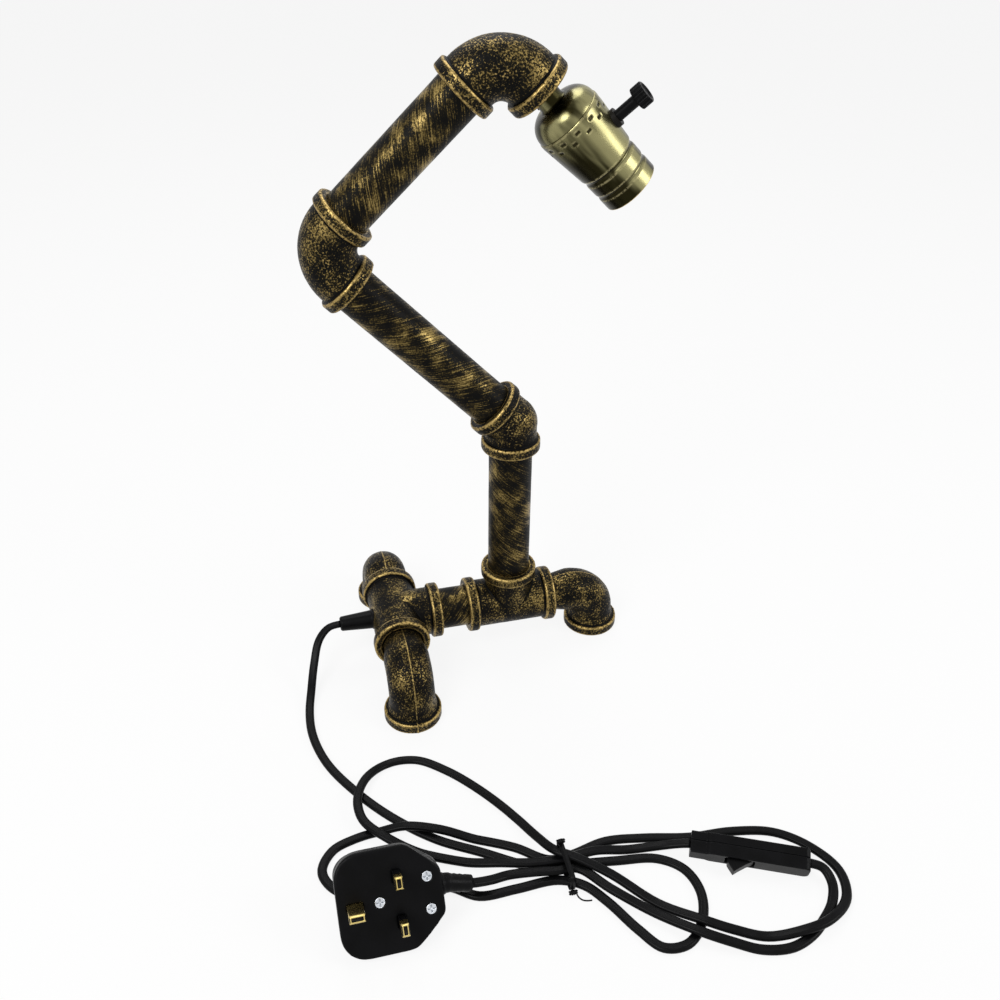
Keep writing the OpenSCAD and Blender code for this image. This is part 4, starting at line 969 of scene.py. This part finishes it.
def makeShell():
    h = holder
    groove, waist, mouth = h["mouth"] - 0.7, h["mouth"] + 0.5, h["mouth"]
    # how far back from the mouth, and the radius there
    grooves = [(21, waist), (19.5, groove), (18.5, groove), (17, mouth + 0.1), (10.5, mouth), (9.5, groove),
               (8.5, groove), (7, mouth), (0, mouth)]
    outside = [(0, capRadius), (0.8, h["radius"]), (3, h["radius"])]
    outside += [(h["shell"] - back, r) for back, r in grooves]
    outline = [(shellTop + z, r) for z, r in outside]
    outline += [(shellTop + z, r - h["sheet"]) for z, r in reversed(outside)]
    step = 2 * math.pi / crimps["count"]

    def crimped(z, r, angle):
        for row in (0, 1):
            along = z - shellTop - crimps["first"] - crimps["rowGap"] * row - crimps["middle"]
            along /= crimps["halfLength"]
            around = (angle - step * row / 2 + step / 2) % step - step / 2
            around = around * h["radius"] / crimps["halfWidth"]
            if abs(along) < 1 and abs(around) < 1:
                edge = min(1, 2.2 * (1 - abs(around)))
                r -= crimps["depth"] * edge * (1 - abs(along) ** 2) * (0.75 + 0.25 * along)
        return r

    piece = lathe("holderShell", stepped(rounded(outline, 0.6, 3), 0.45), atHead, 288, shape=crimped)
    markEdges(piece.data, 0.08, 10)
    rim = [face.index for face in piece.data.polygons if face.center.z > (shellEnd - 0.35) * mm]
    dress(piece, materials["holder"], "head", "antique_brass", "holder_shell")
    twoTone(piece, materials["brass"], rim)
    return piece


def makeScrewShell():
    h = holder
    inner, bore, sheet = h["contactHole"], h["bore"], h["threadSheet"]
    start = knobZ + h["socketEnd"]
    end = start + sheet + h["boreLength"]
    outline = [(start, inner), (start, bore + sheet), (end, bore + sheet), (end, bore),
               (start + sheet, bore), (start + sheet, inner)]

    def rolled(z, r, angle):
        if r <= 10:  # the flat bottom has no thread
            return r
        wave = math.sin(2 * math.pi * z / h["thread"] - angle)
        fade = min(1, max(0, (z - start - 2) / 2), max(0, (end - z) / 2))
        return r + (h["threadDepth"] * wave - 0.02) * fade

    piece = lathe("screwShell", stepped(outline, 0.4), atHead, 120, shape=rolled)
    return dress(piece, materials["brass"], "head", "bright_brass", "screw_shell")


# knob: a plain shaft and a head with ribs and a hollow end
knob = {"shaft": 3.1, "bareLength": 12.2, "bush": 0.8, "head": 6.1, "headLength": 6.5, "ribs": 18,
        "ribDepth": 0.55, "inner": 11}


def makeKnob():
    k = knob
    start = holder["radius"] + k["bush"] + k["bareLength"]
    end = start + k["headLength"]
    r = k["head"]
    outline = [(k["inner"], 0), (k["inner"], k["shaft"]), (start - 0.3, k["shaft"])]
    outline += [(start, k["shaft"] + 0.5), (start, r - 0.3), (start + 0.4, r), (end - 0.5, r)]
    outline += [(end, r - 0.6), (end, r - 1.5), (end - 0.8, r - 2), (end - 0.8, 0)]

    def ribbed(z, radius, angle):
        if radius < r - 0.35 or z < start:
            return radius
        return radius - k["ribDepth"] * (0.5 - 0.5 * math.cos(k["ribs"] * angle)) ** 2

    outline = stepped(rounded(outline, 0.3, 2, closed=False), 1.0, closed=False)
    piece = lathe("switchKnob", outline, atKnob, 180, closed=False, shape=ribbed)
    return dress(piece, materials["plastic"], "knob", "black_plastic", "switch_knob")


sleeve = {"bore": 2.3, "thread": 5, "face": 14.15, "root": 6.7, "tip": 4.8, "length": 21}


def makeCordSleeve():
    s = sleeve
    end = pipework["bodyRadius"] + s["length"]
    inside = min(abs(v.co.x * 1000 - leftX) for v in nodes["cord_sleeve"].data.vertices)
    outline = [(inside, s["bore"]), (inside, s["thread"]), (s["face"], s["thread"]), (s["face"], s["root"]),
               (s["face"] + 1.4, s["root"]), (s["face"] + 1.9, s["root"] - 0.6)]
    outline += [(end - 1, s["tip"]), (end, s["tip"] - 0.9), (end, s["bore"])]
    piece = lathe("cordSleeve", stepped(rounded(outline, 0.3, 3), 1.0), atLeftTee @ turned(-90, "Y"), 72)
    return dress(piece, materials["plastic"], "base", "black_plastic", "cord_sleeve")


def makeBushing():
    r, reach = pipework["pipeRadius"], pipework["threadLength"]
    outline = [(-reach, holder["stud"]), (-reach, r), (-1, r), (-1, holder["stud"])]
    piece = lathe("outletBushing", stepped(rounded(outline, 0.4, 2), 1.2), atHead, 96)
    return dress(piece, materials["cast"], "head", "cast_fittings", "outlet_bushing")


makeBushing()
makeCap()
makeShell()
makeScrewShell()
makeKnob()
makeCordSleeve()
print("holder and knob made")

# the inner pieces and small parts keep their solids and take their own finish
keptNodes = {
    "brass": ["threaded_stud", "stud_nut", "cap_set_screw", "terminal_screws", "inline_switch_contacts"],
    "copper": ["centre_contact", "terminal_wires", "fuse_clips"],
    "steel": ["rocker_pin", "inline_switch_screw"],
    "plastic": ["cord_sleeve_nut", "pin_sleeves"],
    "cord": ["base_lead", "stem_lead", "forearm_lead", "head_lead"],
    "insulator": ["socket_body", "knob_bush"],
    "fibre": ["shell_liner", "switch_rotor", "plug_cord_grip"],
    "ceramic": ["plug_fuse"],
}
for finishName, names in keptNodes.items():
    for name in names:
        nodes[name].data.materials.clear()
        nodes[name].data.materials.append(materials[finishName])


# pale floor, soft lamps and an even pale surround
studio = {"floor": (0.86, 0.86, 0.86, 1), "glow": 0.88, "surround": 0.34, "size": 4.0, "drop": 0.0001}
lamps = {
    "key": {"place": (-0.75, -0.65, 1.05), "size": 0.7, "power": 9.5},
    "fill": {"place": (0.95, -0.55, 0.75), "size": 0.6, "power": 4.5},
    "top": {"place": (0.05, 0.55, 1.2), "size": 0.8, "power": 5},
}


def seenShare(tree):
    path = add(tree, "LightPath").outputs
    clear = sums(tree, "MAXIMUM", path["Is Glossy Ray"], path["Is Transmission Ray"])
    return sums(tree, "MAXIMUM", path["Is Camera Ray"], clear)


def makeStage():
    s, drop = studio["size"], studio["drop"]
    corners = [(-s, -s, -drop), (s, -s, -drop), (s, s, -drop), (-s, s, -drop)]
    floor = makePiece("floor", corners, [(0, 1, 2, 3)])
    material, tree, shader = startMaterial("floor paper")
    tree.nodes.remove(shader)
    plain = add(tree, "BsdfDiffuse", {"Color": studio["floor"]})
    glow = add(tree, "Emission", {"Color": (1, 1, 1, 1), "Strength": 1.0})
    share = sums(tree, "MULTIPLY", seenShare(tree), studio["glow"])
    both = add(tree, "MixShader", {0: share, 1: plain.outputs[0], 2: glow.outputs[0]})
    tree.links.new(both.outputs[0], tree.nodes["Material Output"].inputs["Surface"])
    floor.data.materials.append(material)
    world = bpy.data.worlds.new("surround")
    world.use_nodes = True
    bpy.context.scene.world = world
    air = world.node_tree
    strength = ramp(air, seenShare(air), 0, 1, studio["surround"], 1.0)
    air.links.new(strength, air.nodes["Background"].inputs["Strength"])
    air.nodes["Background"].inputs["Color"].default_value = (1, 1, 1, 1)


def makeLamps():
    aim = Vector((0, -0.08, 0.15))
    for name, lamp in lamps.items():
        data = bpy.data.lights.new(name, "AREA")
        data.shape = "DISK"
        data.size = lamp["size"]
        data.energy = lamp["power"]
        made = bpy.data.objects.new(name, data)
        place = Vector(lamp["place"])
        turn = (place - aim).to_track_quat("Z", "Y").to_matrix().to_4x4()
        made.matrix_world = Matrix.Translation(place) @ turn
        link(made)


makeStage()
makeLamps()
bpy.context.scene.view_settings.view_transform = "Standard"
print("stage made")
